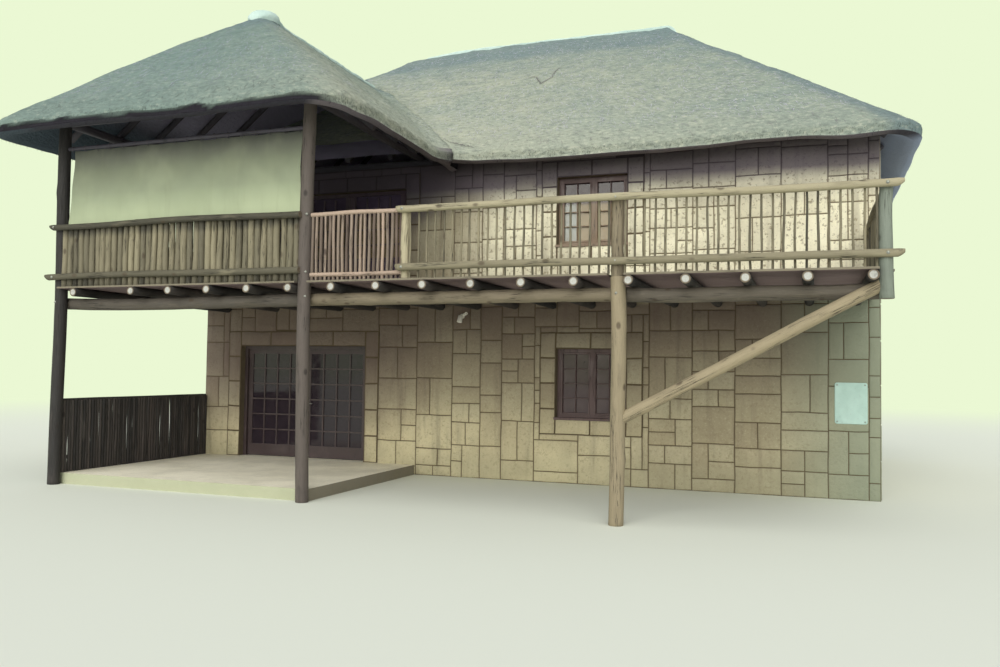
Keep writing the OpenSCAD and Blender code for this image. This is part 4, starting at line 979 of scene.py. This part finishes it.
# A bluish grey band along the ridges and hips is painted shade. The darker blue-green on the wing and on
# the main roof's right and side slopes is partly moss, partly painted shade.
colour = coats(
    graded(mottled, (0.3, (140, 150, 138)), (0.5, (160, 168, 150)), (0.7, (180, 184, 160))),
    ((128, 148, 140), broad, 0.45, 0.62, 0.4), ((196, 196, 172), times(down, down), 0.45),
    (over(mottled, (82, 113, 112), (112, 141, 136)), mossy, 0.72), ((106, 126, 131), near_ridge, 0.72),
    ((112, 134, 134), down, 0.4, 0.0, 0.32), ((98, 106, 100), tufts, 0.50, 0.66, 0.45),
    ((198, 200, 178), times(flecks, clean)), ((84, 92, 88), straws, 0.52, 0.74, 0.48),
    ((192, 196, 178), times(between(straws, 0.46, 0.26, 0.0, 0.3), clean)))
# Undersides, back faces and the rim's steep faces take painted light and shade in place of the straw's
# colour: pale lavender deep in the soffits, violet grey at the lip, dark violet grey on the steep rim
# faces, bluish grey at the roofs' left ends, and pale blue under the main roof's right end by the wall.
coarse, on_wing = between(straws, 0.3, 0.8), between(mossy, 0.55, 0.75)
x, y, _ = apart(place)
inner = over(on_wing, over(coarse, (218, 212, 232), (172, 166, 188)),
             over(coarse, (190, 186, 210), (148, 144, 166)))
lip = over(on_wing, over(coarse, (138, 130, 136), (110, 104, 110)),
           over(coarse, (74, 72, 82), (58, 56, 64)))
shaded = coats(over(between(down, 0.90, 1.0), inner, lip),
               (over(coarse, (80, 92, 102), (60, 70, 80)), x, -5.6, -6.2, 1.0),
               (over(coarse, (168, 180, 208), (140, 152, 178)),
                times(between(x, 6.0, 6.3), between(y, -4.15, -3.8))))
faces = put(tree, "NewGeometry").outputs
level = between(maths("ABSOLUTE", apart(faces["True Normal"])[2]), 0.35, 0.6)
shaded = over(level, over(coarse, (46, 43, 50), (34, 32, 38)), shaded)
feed(shader, Base_Color=over(maths("MAXIMUM", under, faces["Backfacing"]), colour, shaded))
relief(shader, maths("ADD", times(straws, 0.3), tufts), 0.035, 1.0)


def profile(half, ridge_at, slope_angle, fine):
    """A roof slope's section from ridge to eave, round the rim, over the cut straw ends and up
    the underside: how far in from the nose line, how high, how shaded, which part it is, and
    how far along the section."""
    top = lambda run: nose_z + nose_r / np.cos(slope_angle) + np.tan(slope_angle) * run
    inner = lambda at: (at - nose_z - (nose_r - thick) / np.cos(slope_angle)) / np.tan(slope_angle)
    rows = []
    for a in np.linspace(np.pi / 2 - 0.12, np.pi / 2 - slope_angle, 6):
        crown = ridge_r + crown_swell * ((a - np.pi / 2 + slope_angle) / slope_angle) ** 2
        rows.append((half - crown * np.cos(a), ridge_at + crown * np.sin(a), 0, 0))
    rim = np.array([-nose_r - 0.01, top(-nose_r - 0.01)])
    above = np.array([rim_turn - nose_r, top(rim_turn - nose_r)])
    below = np.array([-nose_r, rim[1] - rim_turn])
    lip = np.array([-nose_r + 0.012, eave_z + 0.035])
    rows += [(r, top(r), 0, 0) for r in np.linspace(rows[-1][0], above[0], fine)[1:]]
    rows += [(*(above * (1 - t) ** 2 + rim * 2 * t * (1 - t) + below * t ** 2), 0, 1)
             for t in np.linspace(0, 1, 8)[1:]]
    rows += [(*(below + (lip - below) * t), 0, 1) for t in (0.5, 1.0)]
    rows += [(lip[0] + 0.002, lip[1] - 0.003, 1, 1), (lip[0] + 0.008, lip[1] - 0.006, 1, 1),
             (inner(eave_z), eave_z, 1, 1)]
    last = ridge_at + ridge_r * 1.2 - thick / np.cos(slope_angle)
    rows += [(inner(h), h, 1, 2) for h in np.linspace(eave_z, last, fine // 2)[1:]]
    run, z, under, part = np.array(rows, float).T
    return run, z, under, part, np.concatenate([[0], np.cumsum(np.hypot(np.diff(run), np.diff(z)))])


def rounded_valley(off, run):
    """How far the straw swells into the inner corner between the two roofs, by the distance
    from that corner in plan."""
    soft = min(valley_r, 0.8 * (wing_half - run) + 0.02)
    halfway = soft * (1 - np.sqrt(0.5))
    inside = np.clip(off, halfway, soft)
    swollen = soft - np.sqrt(soft ** 2 - (soft - inside) ** 2)
    return np.clip(swollen - 0.6 * np.clip(halfway - off, 0, None), 0, None)


def ridge_sag(x):
    """How far the main ridge has settled towards its left end."""
    return 0.13 * np.clip((-2.0 - x) / 1.6, 0, 1) ** 1.3


def eave_line(left, right, front, back, corner, counts, closed=True):
    """A level line round the roof with rounded corners, and how much it faces sideways."""
    corner = min(corner, (right - left) / 2.001, (back - front) / 2.001)
    near, far, low, high = left + corner, right - corner, front + corner, back - corner
    legs = [((near, front), (far, front), 0), ((right, low), (right, high if closed else back), 1)]
    turns = [(far, low, -np.pi / 2)]
    if closed:
        legs += [((far, back), (near, back), 0), ((left, high), (left, low), 1)]
        turns += [(far, high, 0), (near, high, np.pi / 2), (near, low, np.pi)]
    else:
        legs.insert(0, ((left, back), (left, low), 1))
        turns.insert(0, (near, low, np.pi))
    x, y, side = [], [], []
    for k, (start, end, facing) in enumerate(legs):
        x += list(np.linspace(start[0], end[0], counts[facing]))
        y += list(np.linspace(start[1], end[1], counts[facing]))
        side += [facing] * counts[facing]
        if k < len(turns):
            a = turns[k][2] + np.linspace(0, np.pi / 2, 10)[1:-1]
            x += list(turns[k][0] + corner * np.cos(a))
            y += list(turns[k][1] + corner * np.sin(a))
            swing = np.linspace(0, 1, 8)
            side += list(1 - swing if facing else swing)
    return np.array(x), np.array(y), np.array(side, float)


def combed(name, rings, closed, seed, marks, keep=None):
    """The thatch's surface over its rings, roughened as combed straw is."""
    grid = np.stack(rings)
    along = np.roll(grid, -1, 1) - np.roll(grid, 1, 1)
    if not closed:
        along[:, 0], along[:, -1] = grid[:, 1] - grid[:, 0], grid[:, -1] - grid[:, -2]
    face = np.cross(np.gradient(grid, axis=0), along)
    face /= np.linalg.norm(face, axis=2, keepdims=True) + 1e-9
    flat = grid.reshape(-1, 3)
    push = lumps(flat, 0.9, seed) * 0.020 + lumps(flat, 0.34, seed + 1) * 0.014 \
        + lumps(flat, 0.12, seed + 2) * 0.008
    points = flat + face.reshape(-1, 3) * (push - 0.024)[:, None] * (1 - 0.6 * marks["under"])[:, None]
    near_eave = np.clip((5.75 - flat[:, 2]) / 0.2, 0, 1)
    points[:, 2] += lumps(flat * (1, 1, 0), 0.7, seed + 3) * 0.028 * near_eave
    faces = grid_faces(*grid.shape[:2], closed)
    if keep is not None:
        faces = faces[keep(flat[faces].mean(1))]
    return shape(name, points, [faces[:, ::-1]], thatch, "thatch", marks), points.reshape(grid.shape)


def strewn(name, seed, grid, marks, first, last, count, longs, lift, splay, keep=None):
    """Loose straws that lie down the slope between two rows of the surface."""
    chance = np.random.default_rng(seed)
    start, down, along = grid[first:last, :-1], grid[first + 1:last + 1, :-1], grid[first:last, 1:]
    down, along = (down - start).reshape(-1, 3), (along - start).reshape(-1, 3)
    face = np.cross(down, along)
    area = np.linalg.norm(face, axis=1)
    pick = chance.choice(area.size, count, p=area / area.sum())
    root = start.reshape(-1, 3)[pick] + chance.random((count, 1)) * down[pick] \
        + chance.random((count, 1)) * along[pick]
    if keep is not None:
        pick, root = pick[keep(root)], root[keep(root)]
    count = len(pick)
    face = face[pick] / area[pick][:, None]
    down = down[pick] / np.linalg.norm(down[pick], axis=1, keepdims=True)
    across = np.cross(face, down)
    swing = chance.normal(0, splay, (count, 1))
    way, side = down * np.cos(swing) + across * np.sin(swing), across * np.cos(swing) - down * np.sin(swing)
    tip = root + way * chance.uniform(*longs, (count, 1)) \
        + face * chance.uniform(0.3, 1.0, (count, 1)) * lift
    half = side * chance.uniform(0.0016, 0.0036, (count, 1))
    root = root - face * 0.003
    points = np.stack([root - half, root + half, tip + half * 0.3, tip - half * 0.3], 1).reshape(-1, 3)
    cols = grid.shape[1]
    cell = (first + pick // (cols - 1)) * cols + pick % (cols - 1)
    read = {label: np.repeat(values[cell], 4, 0) for label, values in marks.items() if label != "straw"}
    read["straw"] = np.repeat(chance.uniform(-60, 60, (count, 3)), 4, 0)
    shape(name, points, [np.arange(4 * count).reshape(-1, 4)], thatch, "thatch", read)


def straws_on(roof, seed, grid, marks, part, loose, fringe, keep=None):
    """The loose straws of one roof and the fringe of straw ends under its eave."""
    last = np.flatnonzero(part == 0)[-1]
    strewn(roof + "_loose_straw", seed, grid, marks, 6, last, loose, (0.05, 0.20), 0.012, 0.35, keep)
    strewn(roof + "_eave_fringe", seed + 1, grid, marks, last + 3, last + 9, fringe, (0.02, 0.05), 0.010,
           0.3, keep)
    return last


def roof_marks(x, y, z, along, *rest):
    """What the thatch's finish reads: straw direction, shade, a band of painted shade along the
    ridges and hips, how far down the slope it is, and how grown with moss, with painted shade in it."""
    under, to_ridge, to_eave, mossy = (value + 0 * x for value in rest)
    ridge_lumps = lumps(np.stack([x, y, z], 1), 0.7, 5) * 0.35
    return {"straw": np.stack([x + y * 0.6, along + 0 * x, y * 0.8 - x * 0.3 + under * 7.0], 1),
            "near_ridge": np.clip((0.98 - to_ridge) / 0.34 + ridge_lumps, 0, 0.85),
            "down": np.clip(1.05 - to_eave / 3.4, 0, 1), "under": under, "mossy": np.clip(mossy, 0, 1)}


run, z, under, part, along = profile(nose_y, ridge_z, pitch, 78)
left_top = (z - nose_z - nose_r / np.cos(left_pitch)) / np.tan(left_pitch)
left_inner = (z - nose_z - (nose_r - thick) / np.cos(left_pitch)) / np.tan(left_pitch)
left_run = np.where(part == 0, left_top, np.where(part == 2, left_inner, run))
rings, marks = [], []
for k, inward in enumerate(run):
    deep = nose_y - inward if k else 0.001
    x, y, side = eave_line(min(nose_left + left_run[k], ridge_left), max(nose_right - inward, ridge_right),
                           -deep, deep, 0.60 - 0.08 * max(inward, 0) * (part[k] < 2), (132, 80))
    zz = z[k] + 0.05 * np.clip(inward / 2, 0, 1) * (part[k] == 0) + 0 * x
    zz -= ridge_sag(x) * np.clip((inward - 3.2) / 1.0, 0, 1) * (part[k] == 0)
    by_side = np.minimum(nose_right - x, (x - nose_left) * np.tan(left_pitch) / slope)
    by_front = nose_y - abs(y)
    to_hip = abs(by_side - by_front) / 1.414
    to_ridge = np.minimum(to_hip * 1.6 + 0.35, nose_y - np.minimum(by_side, by_front))
    if inward < wing_half - 0.05 and part[k] < 2:
        off = x - (wing_x + wing_half - inward)
        y = y - rounded_valley(off, inward) * (y < 0.01 - deep) * (x < 1.0)
    rings.append(np.stack([x, y, zz], 1))
    # Moss and painted shade: more of both to the right and on the side slopes.
    moss_shade_level = 0.18 + 0.09 * (x - 1.0) + 0.25 * side
    marks.append(roof_marks(x, y, zz, along[k], under[k], to_ridge, max(inward, 0), moss_shade_level))


def outside_wing(points):
    """Whether points lie outside the open space under the wing roof, in front of the wall."""
    x, y, z = points.T
    inner_z = nose_z + (nose_r - thick) / np.cos(pitch)
    reach = wing_half - np.maximum((z - inner_z) / slope, 0) + 0.10
    return ~((abs(x - wing_x) < reach) & (y < -3.74))


marks = joined(marks)
main_roof, grid = combed("main_thatch_straw", rings, True, 21, marks, keep=outside_wing)
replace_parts(main_roof, "main_thatch")
top_rows = straws_on("main", 22, grid, marks, part, 26000, 5000, outside_wing)

# Two creases in the main thatch are drawn as thin strips lying just over the straw in the thatch's shade
# colours: painted shadow lines.
crease_shade_lines = [[(-0.18, -1.88), (0.0, -1.86), (0.22, -2.17), (0.35, -1.93), (0.37, -1.66), (0.43, -1.5)],
               [(-0.9, -4.16), (-0.59, -4.22), (-0.28, -4.25)]]
chance = np.random.default_rng(24)
crease_shade_strips = []
top_face = grid[6:top_rows].reshape(-1, 3)
for line in crease_shade_lines:
    reach = np.linspace(0, len(line) - 1, 14 * (len(line) - 1) + 1)
    path = np.stack([np.interp(reach, np.arange(len(line)), part) for part in zip(*line)], 1)
    path += chance.normal(0, 0.012, path.shape)
    way = np.gradient(path, axis=0)
    side = np.stack([-way[:, 1], way[:, 0]], 1) / np.linalg.norm(way, axis=1, keepdims=True)
    n = len(path)
    half = 0.002 + 0.009 * np.sin(np.pi * np.linspace(0.02, 0.98, n)) * chance.uniform(0.6, 1.2, n)
    at = np.concatenate([path + side * half[:, None] * sign for sign in (-1, 1)])
    near = top_face[np.argmin(((top_face[None, :, :2] - at[:, None]) ** 2).sum(2), 1)]
    lifted = np.column_stack([at, near[:, 2] + slope * (at[:, 1] - near[:, 1]) + 0.012])
    crease_shade_strips.append((lifted, np.array([(j + 1, n + j + 1, n + j, j) for j in range(n - 1)])))
points, faces = together(crease_shade_strips)
x, y, z = points.T
shape("thatch_crease_shade", points, faces, thatch, "thatch",
      roof_marks(x + 60, y, z, y * 9, 0.75, 3.0, 0.0, 0.0))

run, z, under, part, along = profile(wing_half, wing_ridge_z, pitch, 60)
rings, marks = [], []
for k, inward in enumerate(run):
    on_top, on_rim = part[k] == 0, part[k] == 1
    wide = max(wing_half - inward, 0.02)
    shell = max((z[k] - nose_z - nose_r / np.cos(pitch)) / slope, 0)
    back = min(-nose_y + shell + (0.30 if part[k] < 2 else 0.34), -1.0)
    front = min(wing_front + inward * (1 - 0.075 * on_top), peak_y)
    x, y, side = eave_line(wing_x - wide, wing_x + wide, front, back,
                           0.50 - 0.08 * max(inward, 0) * (part[k] < 2), (64, 62), closed=False)
    full = 0.085 * np.sin(np.pi * np.clip(inward / wing_half, 0, 1)) ** 0.8
    zz = z[k] + full * on_top + 0 * x
    by_side, by_front = wing_half - abs(x - wing_x), (y - wing_front) / 0.925
    to_ridge = wing_half - np.minimum(by_side, by_front) + 0.2
    if part[k] < 2 and wide > 0.05:
        x = x + rounded_valley(inward - nose_y - y, inward) * (x > wing_x + wide - 0.01) * (y > -6.5)
    # Moss and painted shade: most on the wing's front, less to its right and on its right slope.
    moss_shade_level = 1.0 - 0.10 * (x - wing_x) - 0.5 * side * (x > wing_x)
    zz = zz - 0.05 * side * np.clip(inward / 2, 0, 1) * on_top
    rings.append(np.stack([x, y, zz], 1))
    # The wing's rim is painted shade along its front below a ragged line, and on its right side near the
    # wall.
    ragged = eave_z + 0.11 + 0.06 * lumps(np.stack([x, y, 0 * x], 1), 0.22, 8)
    rim_shade = np.clip(1.6 - 2.2 * side, 0, 1) * on_rim * np.clip((ragged - z[k]) / 0.02, 0, 1)
    wall_side_shade = np.clip((y + 4.9) / 0.4, 0, 1) * on_rim * (x > wing_x)
    shade = np.maximum(under[k], np.maximum(rim_shade, wall_side_shade))
    marks.append(roof_marks(x + 17, y, zz, along[k] + 40, shade, to_ridge, max(inward, 0), moss_shade_level))
marks = joined(marks)
wing_roof, grid = combed("wing_thatch_straw", rings, False, 25, marks)
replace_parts(wing_roof, "wing_thatch")
straws_on("wing", 26, grid, marks, part, 9000, 2600)

# Ridge caps. Cement mortar laid by hand over the straw's ends along both ridges, limewashed,
# with a lumpy surface and an uneven lower edge.
mortar, tree, shader, place = new_finish("limewashed_mortar", 0.92)
stain = shared(weathering, place, 1.4)
trowelled = cloudy(place, 14.0, 6.0, 0.65)
feed(shader, Base_Color=coats(
    over(stain["Patches"], (206, 226, 214), (182, 206, 194)), ((120, 134, 126), stain["Specks"], 0.6),
    ((146, 160, 150), trowelled, 0.55, 0.75, 0.4)))
relief(shader, trowelled, 0.012)


def ridge_cap(name, start, end, z, seed, reach, knob, stands_for):
    """A thin bar of mortar along a ridge, swollen to a knob at its first end, its edges let
    into the straw."""
    start, end = np.array(start, float), np.array(end, float)
    long = np.linalg.norm(end - start)
    axis = (end - start) / long
    across = np.array([-axis[1], axis[0]])
    turn_down = np.linspace(-np.pi / 2, 0, 9)
    steps = [(0.0, a) for a in turn_down] + [(s, 0.0) for s in np.linspace(0, long, int(long / 0.05))[1:]] \
        + [(long, -a) for a in turn_down[::-1][1:]]
    share = np.linspace(-1, 1, 21)
    points = []
    for s, a in steps:
        near = np.exp(-(s / 0.26) ** 2)
        spread = reach + (1.4 - reach) * near * (knob > 0) \
            + 0.10 * np.sin(s * 9.0 + seed) + 0.06 * np.sin(s * 23.0)
        for t in share:
            b = t * spread
            size = ridge_r + 0.022 + 0.09 * near * (knob > 0) - 0.06 * max(abs(t) - 0.75, 0) / 0.25
            tall = np.cos(b) * np.cos(a) * (size + knob * near)
            flat = start + axis * (s + np.sin(a) * size) + across * (np.sin(b) * np.cos(a) * size)
            points.append((*flat, z + min(tall, ridge_r + 0.03 + knob * near)))
    points = np.array(points)
    points[:, 2] += lumps(points, 0.35, seed) * 0.010 + lumps(points, 0.1, seed + 1) * 0.006 - 0.006
    points[:, 2] -= ridge_sag(points[:, 0]) * (knob == 0)
    piece = shape(name, points, [grid_faces(len(steps), len(share))[:, ::-1]], mortar, "mortar")
    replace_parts(piece, stands_for)


ridge_cap("main_ridge_mortar", (ridge_left + 0.5, 0), (ridge_right, 0), ridge_z + 0.05, 51, 0.34, 0.0,
          "main_ridge_cap")
ridge_cap("wing_ridge_mortar", (wing_x, peak_y), (wing_x, -1.05), wing_ridge_z - 0.03, 55, 0.5, 0.02,
          "wing_ridge_cap")

# Canvas blind. One sheet of sage canvas, laced to a pole under the wing's eave and let down
# behind the top rail; it hangs in soft slanting folds and bellies a little between its sides.
flat_w, flat_h = 4.24, 1.20
canvas, tree, shader, place = new_finish("sage_canvas", 0.88)
stain = shared(weathering, place, 1.3)
cloth = mark(tree, "cloth", "Vector")
u, v, _ = apart(cloth)
warp, weft = (maths("SINE", times(way, 3100.0)) for way in (u, v))
slanting = cloudy(put(tree, "VectorRotate", {"Vector": cloth, "Angle": 0.7}).outputs[0], 1.1, 3.0)
slubs = cloudy(stretched(cloth, 40.0, 600.0, 1.0), 1.0, 3.0)
# The canvas is painted darker towards its top: painted shade under the wing's eave.
feed(shader, Base_Color=coats(
    graded(times(v, 1 / flat_h), (0.0, (66, 66, 62)), (0.13, (100, 102, 90)), (0.32, (124, 130, 107)),
           (0.6, (143, 151, 124)), (1.0, (188, 199, 160))),
    ((140, 148, 118), slanting, 0.4, 0.75, 0.16), ((206, 214, 172), slanting, 0.55, 0.3, 0.12),
    ((128, 132, 104), stain["Runs"], 0.15), ((150, 156, 124), slubs, 0.5, 0.8, 0.25)))
relief(shader, times(warp, weft), 0.0006, 0.6)
shader.inputs["Sheen Weight"].default_value = 0.15

cloth_left, cloth_right, cloth_top, cloth_low = -5.935, -1.695, 5.225, 4.062
rows, cols = 52, 170
u, v = (part.ravel() for part in np.meshgrid(np.linspace(0, 1, cols), np.linspace(0, 1, rows)))
wave = lambda turns: np.sin(2 * np.pi * turns)
edge_in = 0.055 * np.sin(np.pi * v) ** 1.2
x = cloth_left + edge_in + 0.08 * (1 - v) ** 1.5 * (1 - u) + u * (cloth_right - cloth_left - 1.4 * edge_in)
sag = 0.012 * np.sin(u * np.pi * 9) ** 2 * (1 - v) ** 3
zz = cloth_top - sag + v * (cloth_low - cloth_top) - 0.012 * v * np.sin(np.pi * u * 3 + 0.6) ** 2
folds = (0.016 * np.sin(2 * np.pi * (u * 5.2 + v * 1.1) + 0.7)
         + 0.011 * np.sin(2 * np.pi * (u * 8.7 - v * 1.4) + 2.0) + 0.014 * wave(u * 2.1 - v * 0.6))
folds *= 0.35 + 0.65 * np.sin(np.pi * np.clip(v * 0.9 + 0.08, 0, 1))
flat = np.stack([u * flat_w, v * flat_h, 0 * u], 1)
yy = post_y + 0.004 + folds * 0.8 + lumps(flat, 0.35, 61) * 0.008 \
    - 0.03 * np.sin(np.pi * v) * np.sin(np.pi * u)
blind = shape("canvas_sheet", np.stack([x, yy, zz], 1), [grid_faces(rows, cols)], canvas, "canvas",
              {"cloth": flat})
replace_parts(blind, "canvas_blind")
hung_z, slim = 5.26, {**rail, "sides": 16, "bend": 0.003, "lumpy": 0.02}
pole_work("blind_pole_pole",
          [round_pole((-5.96, post_y, hung_z), (-1.67, post_y, hung_z), 0.058, 501, 0.3, **slim)],
          shade_dark_pole, "brown_poles", "blind_pole")
lacing, loops = [], 18
turn_by = np.linspace(0, 2 * np.pi, 17)
for k in range(loops):
    at = cloth_left + 0.06 + k * (cloth_right - cloth_left - 0.12) / (loops - 1)
    ring = np.stack([at + 0.02 * np.sin(turn_by / 2), post_y + 0.040 * np.sin(turn_by),
                     5.247 + 0.050 * np.cos(turn_by)], 1)
    lacing += [round_pole(p, q, 0.008, k, 0.8, sides=6, step=0.05, bend=0.0, lumpy=0.0, knobs=0.0)
               for p, q in zip(ring, ring[1:])]
lace = pole_work("blind_lacing", lacing, shade_dark_pole, "canvas")

# Plate and wall light. A plain enamelled plate on four screws at the right end of the front
# wall, left bare, and a small twin lamp of pale moulded plastic screwed to the wall under the
# deck.
def rounded_plate(x, z, wide, tall, thick_y, corner, out_y):
    """Points and faces of an upright plate with rounded corners and an eased front edge."""
    a = np.concatenate([np.linspace(k, k + np.pi / 2, 7) for k in (0, np.pi / 2, np.pi, 3 * np.pi / 2)])
    cx = np.repeat([wide / 2 - corner, -wide / 2 + corner, -wide / 2 + corner, wide / 2 - corner], 7)
    cz = np.repeat([tall / 2 - corner, tall / 2 - corner, -tall / 2 + corner, -tall / 2 + corner], 7)
    eased = 0.0008
    rows = [np.stack([x + cx + (corner - size) * np.cos(a), np.full(28, out_y - y),
                      z + cz + (corner - size) * np.sin(a)], 1)
            for size, y in ((0.0, 0.0), (0.0, thick_y * 0.6), (0.0016, thick_y), (0.012, thick_y),
                            (0.02, thick_y - eased))]
    caps = [(4 * 28 + k, 4 * 28 + (k + 1) % 28, 5 * 28) for k in range(28)]
    return np.concatenate(rows + [[(x, out_y - thick_y + eased, z)]]), [grid_faces(5, 28, True), caps]


enamel, tree, shader, place = new_finish("pale_enamel", 0.35)
dull, rust = cloudy(place, 9.0, 5.0), cloudy(place, 31.0, 6.0, 0.7)
feed(shader, Roughness=between(dull, 0.3, 0.7, 0.3, 0.55), Base_Color=coats(
    over(dull, (190, 220, 206), (162, 192, 180)), ((120, 110, 90), rust, 0.62, 0.72, 0.6)))
stone_y = -wall_deep - stone_out
panel_x, panel_z, panel_w, panel_h = 5.64, 1.44, 0.46, 0.62
corner, screw_w = 0.035, 0.018
panel = rounded_plate(panel_x, panel_z, panel_w, panel_h, 0.005, corner, stone_y - 0.002)
shape("bare_plate", *panel, enamel, "lamp_metal")
for k, (side, up) in enumerate(((-1, -1), (1, -1), (-1, 1), (1, 1))):
    x, z = panel_x + side * (panel_w / 2 - corner), panel_z + up * (panel_h / 2 - corner)
    screw = rounded_plate(x, z, screw_w, screw_w, 0.004, screw_w / 2, stone_y - 0.006)
    shape("plate_screw_%d" % k, *screw, satin, "lamp_metal")


def spun(start, end, outline, sides=20):
    """A turned piece along a line, from its outline of (how far along, radius) steps."""
    start, end, _, _, across, up = line_of(start, end)
    round_to = np.linspace(0, 2 * np.pi, sides, endpoint=False)
    ring = np.outer(np.cos(round_to), across) + np.outer(np.sin(round_to), up)
    return (np.concatenate([start + (end - start) * s + ring * r for s, r in outline]),
            grid_faces(len(outline), sides, True))


moulded, tree, shader, place = new_finish("pale_moulding", 0.5)
feed(shader, Base_Color=over(cloudy(place, 40.0, 4.0), (250, 246, 236), (220, 212, 200)))
base = np.array((-0.67, -wall_deep, 2.80))
arm_end = base + (0, -0.09, 0.008)
hood = [(0.0, 0.004), (0.0, 0.030), (0.06, 0.040), (0.80, 0.045), (0.96, 0.046), (1.0, 0.043),
        (0.99, 0.038), (0.90, 0.034), (0.88, 0.002)]
small_hood = [(s, r * 0.6) for s, r in hood]
foot = [(0.0, 0.045), (0.7, 0.045), (0.95, 0.040), (1.0, 0.030), (1.0, 0.001)]
arm = [(0.0, 0.012), (0.8, 0.012), (0.85, 0.018), (1.0, 0.018), (1.1, 0.001)]
points, faces = together([
    spun(base, base - (0, 0.022, 0), foot), spun(base - (0, 0.02, 0), arm_end, arm),
    spun(arm_end, arm_end + (-0.012, -0.03, -0.120), hood, 28),
    spun(arm_end, arm_end + (0.075, -0.025, 0.010), [(0.0, 0.010), (1.0, 0.010), (1.01, 0.001)], 12),
    spun(arm_end + (0.062, -0.022, 0.006), arm_end + (0.130, -0.050, 0.034), small_hood, 24)])
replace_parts(shape("twin_lamp", points, faces, moulded, "lamp_metal"), "wall_light")

# Bolts. Galvanised steel, each with a round head on a washer, put through a rail or the brace and
# the post behind it and drawn up tight.
head = [(0.0, 0.020), (0.25, 0.020), (0.3, 0.012), (0.7, 0.0115), (0.95, 0.008), (1.0, 0.001)]
rail_front, bolt_x = rail_y - 0.047, post_x[1] + 0.03
seats = [(x, rail_front + 0.004, rail_front - 0.012, z)
         for x in (post_x[0], start_x, post_x[2], corner_x) for z in both_rails]
seats += [(bolt_x, post_y - 0.088, post_y - 0.106, z) for z in (low_rail - 0.02, top_rail + 0.01, 2.86)]
seats += [(x, post_y - 0.090, post_y - 0.108, z) for x, z in ((post_x[0], 2.84), (post_x[2], 2.83))]
points, faces = together([spun((x, back, z), (x, front, z), head, 12) for x, back, front, z in seats])
shape("galvanised_bolts", points, faces, satin, "lamp_metal")
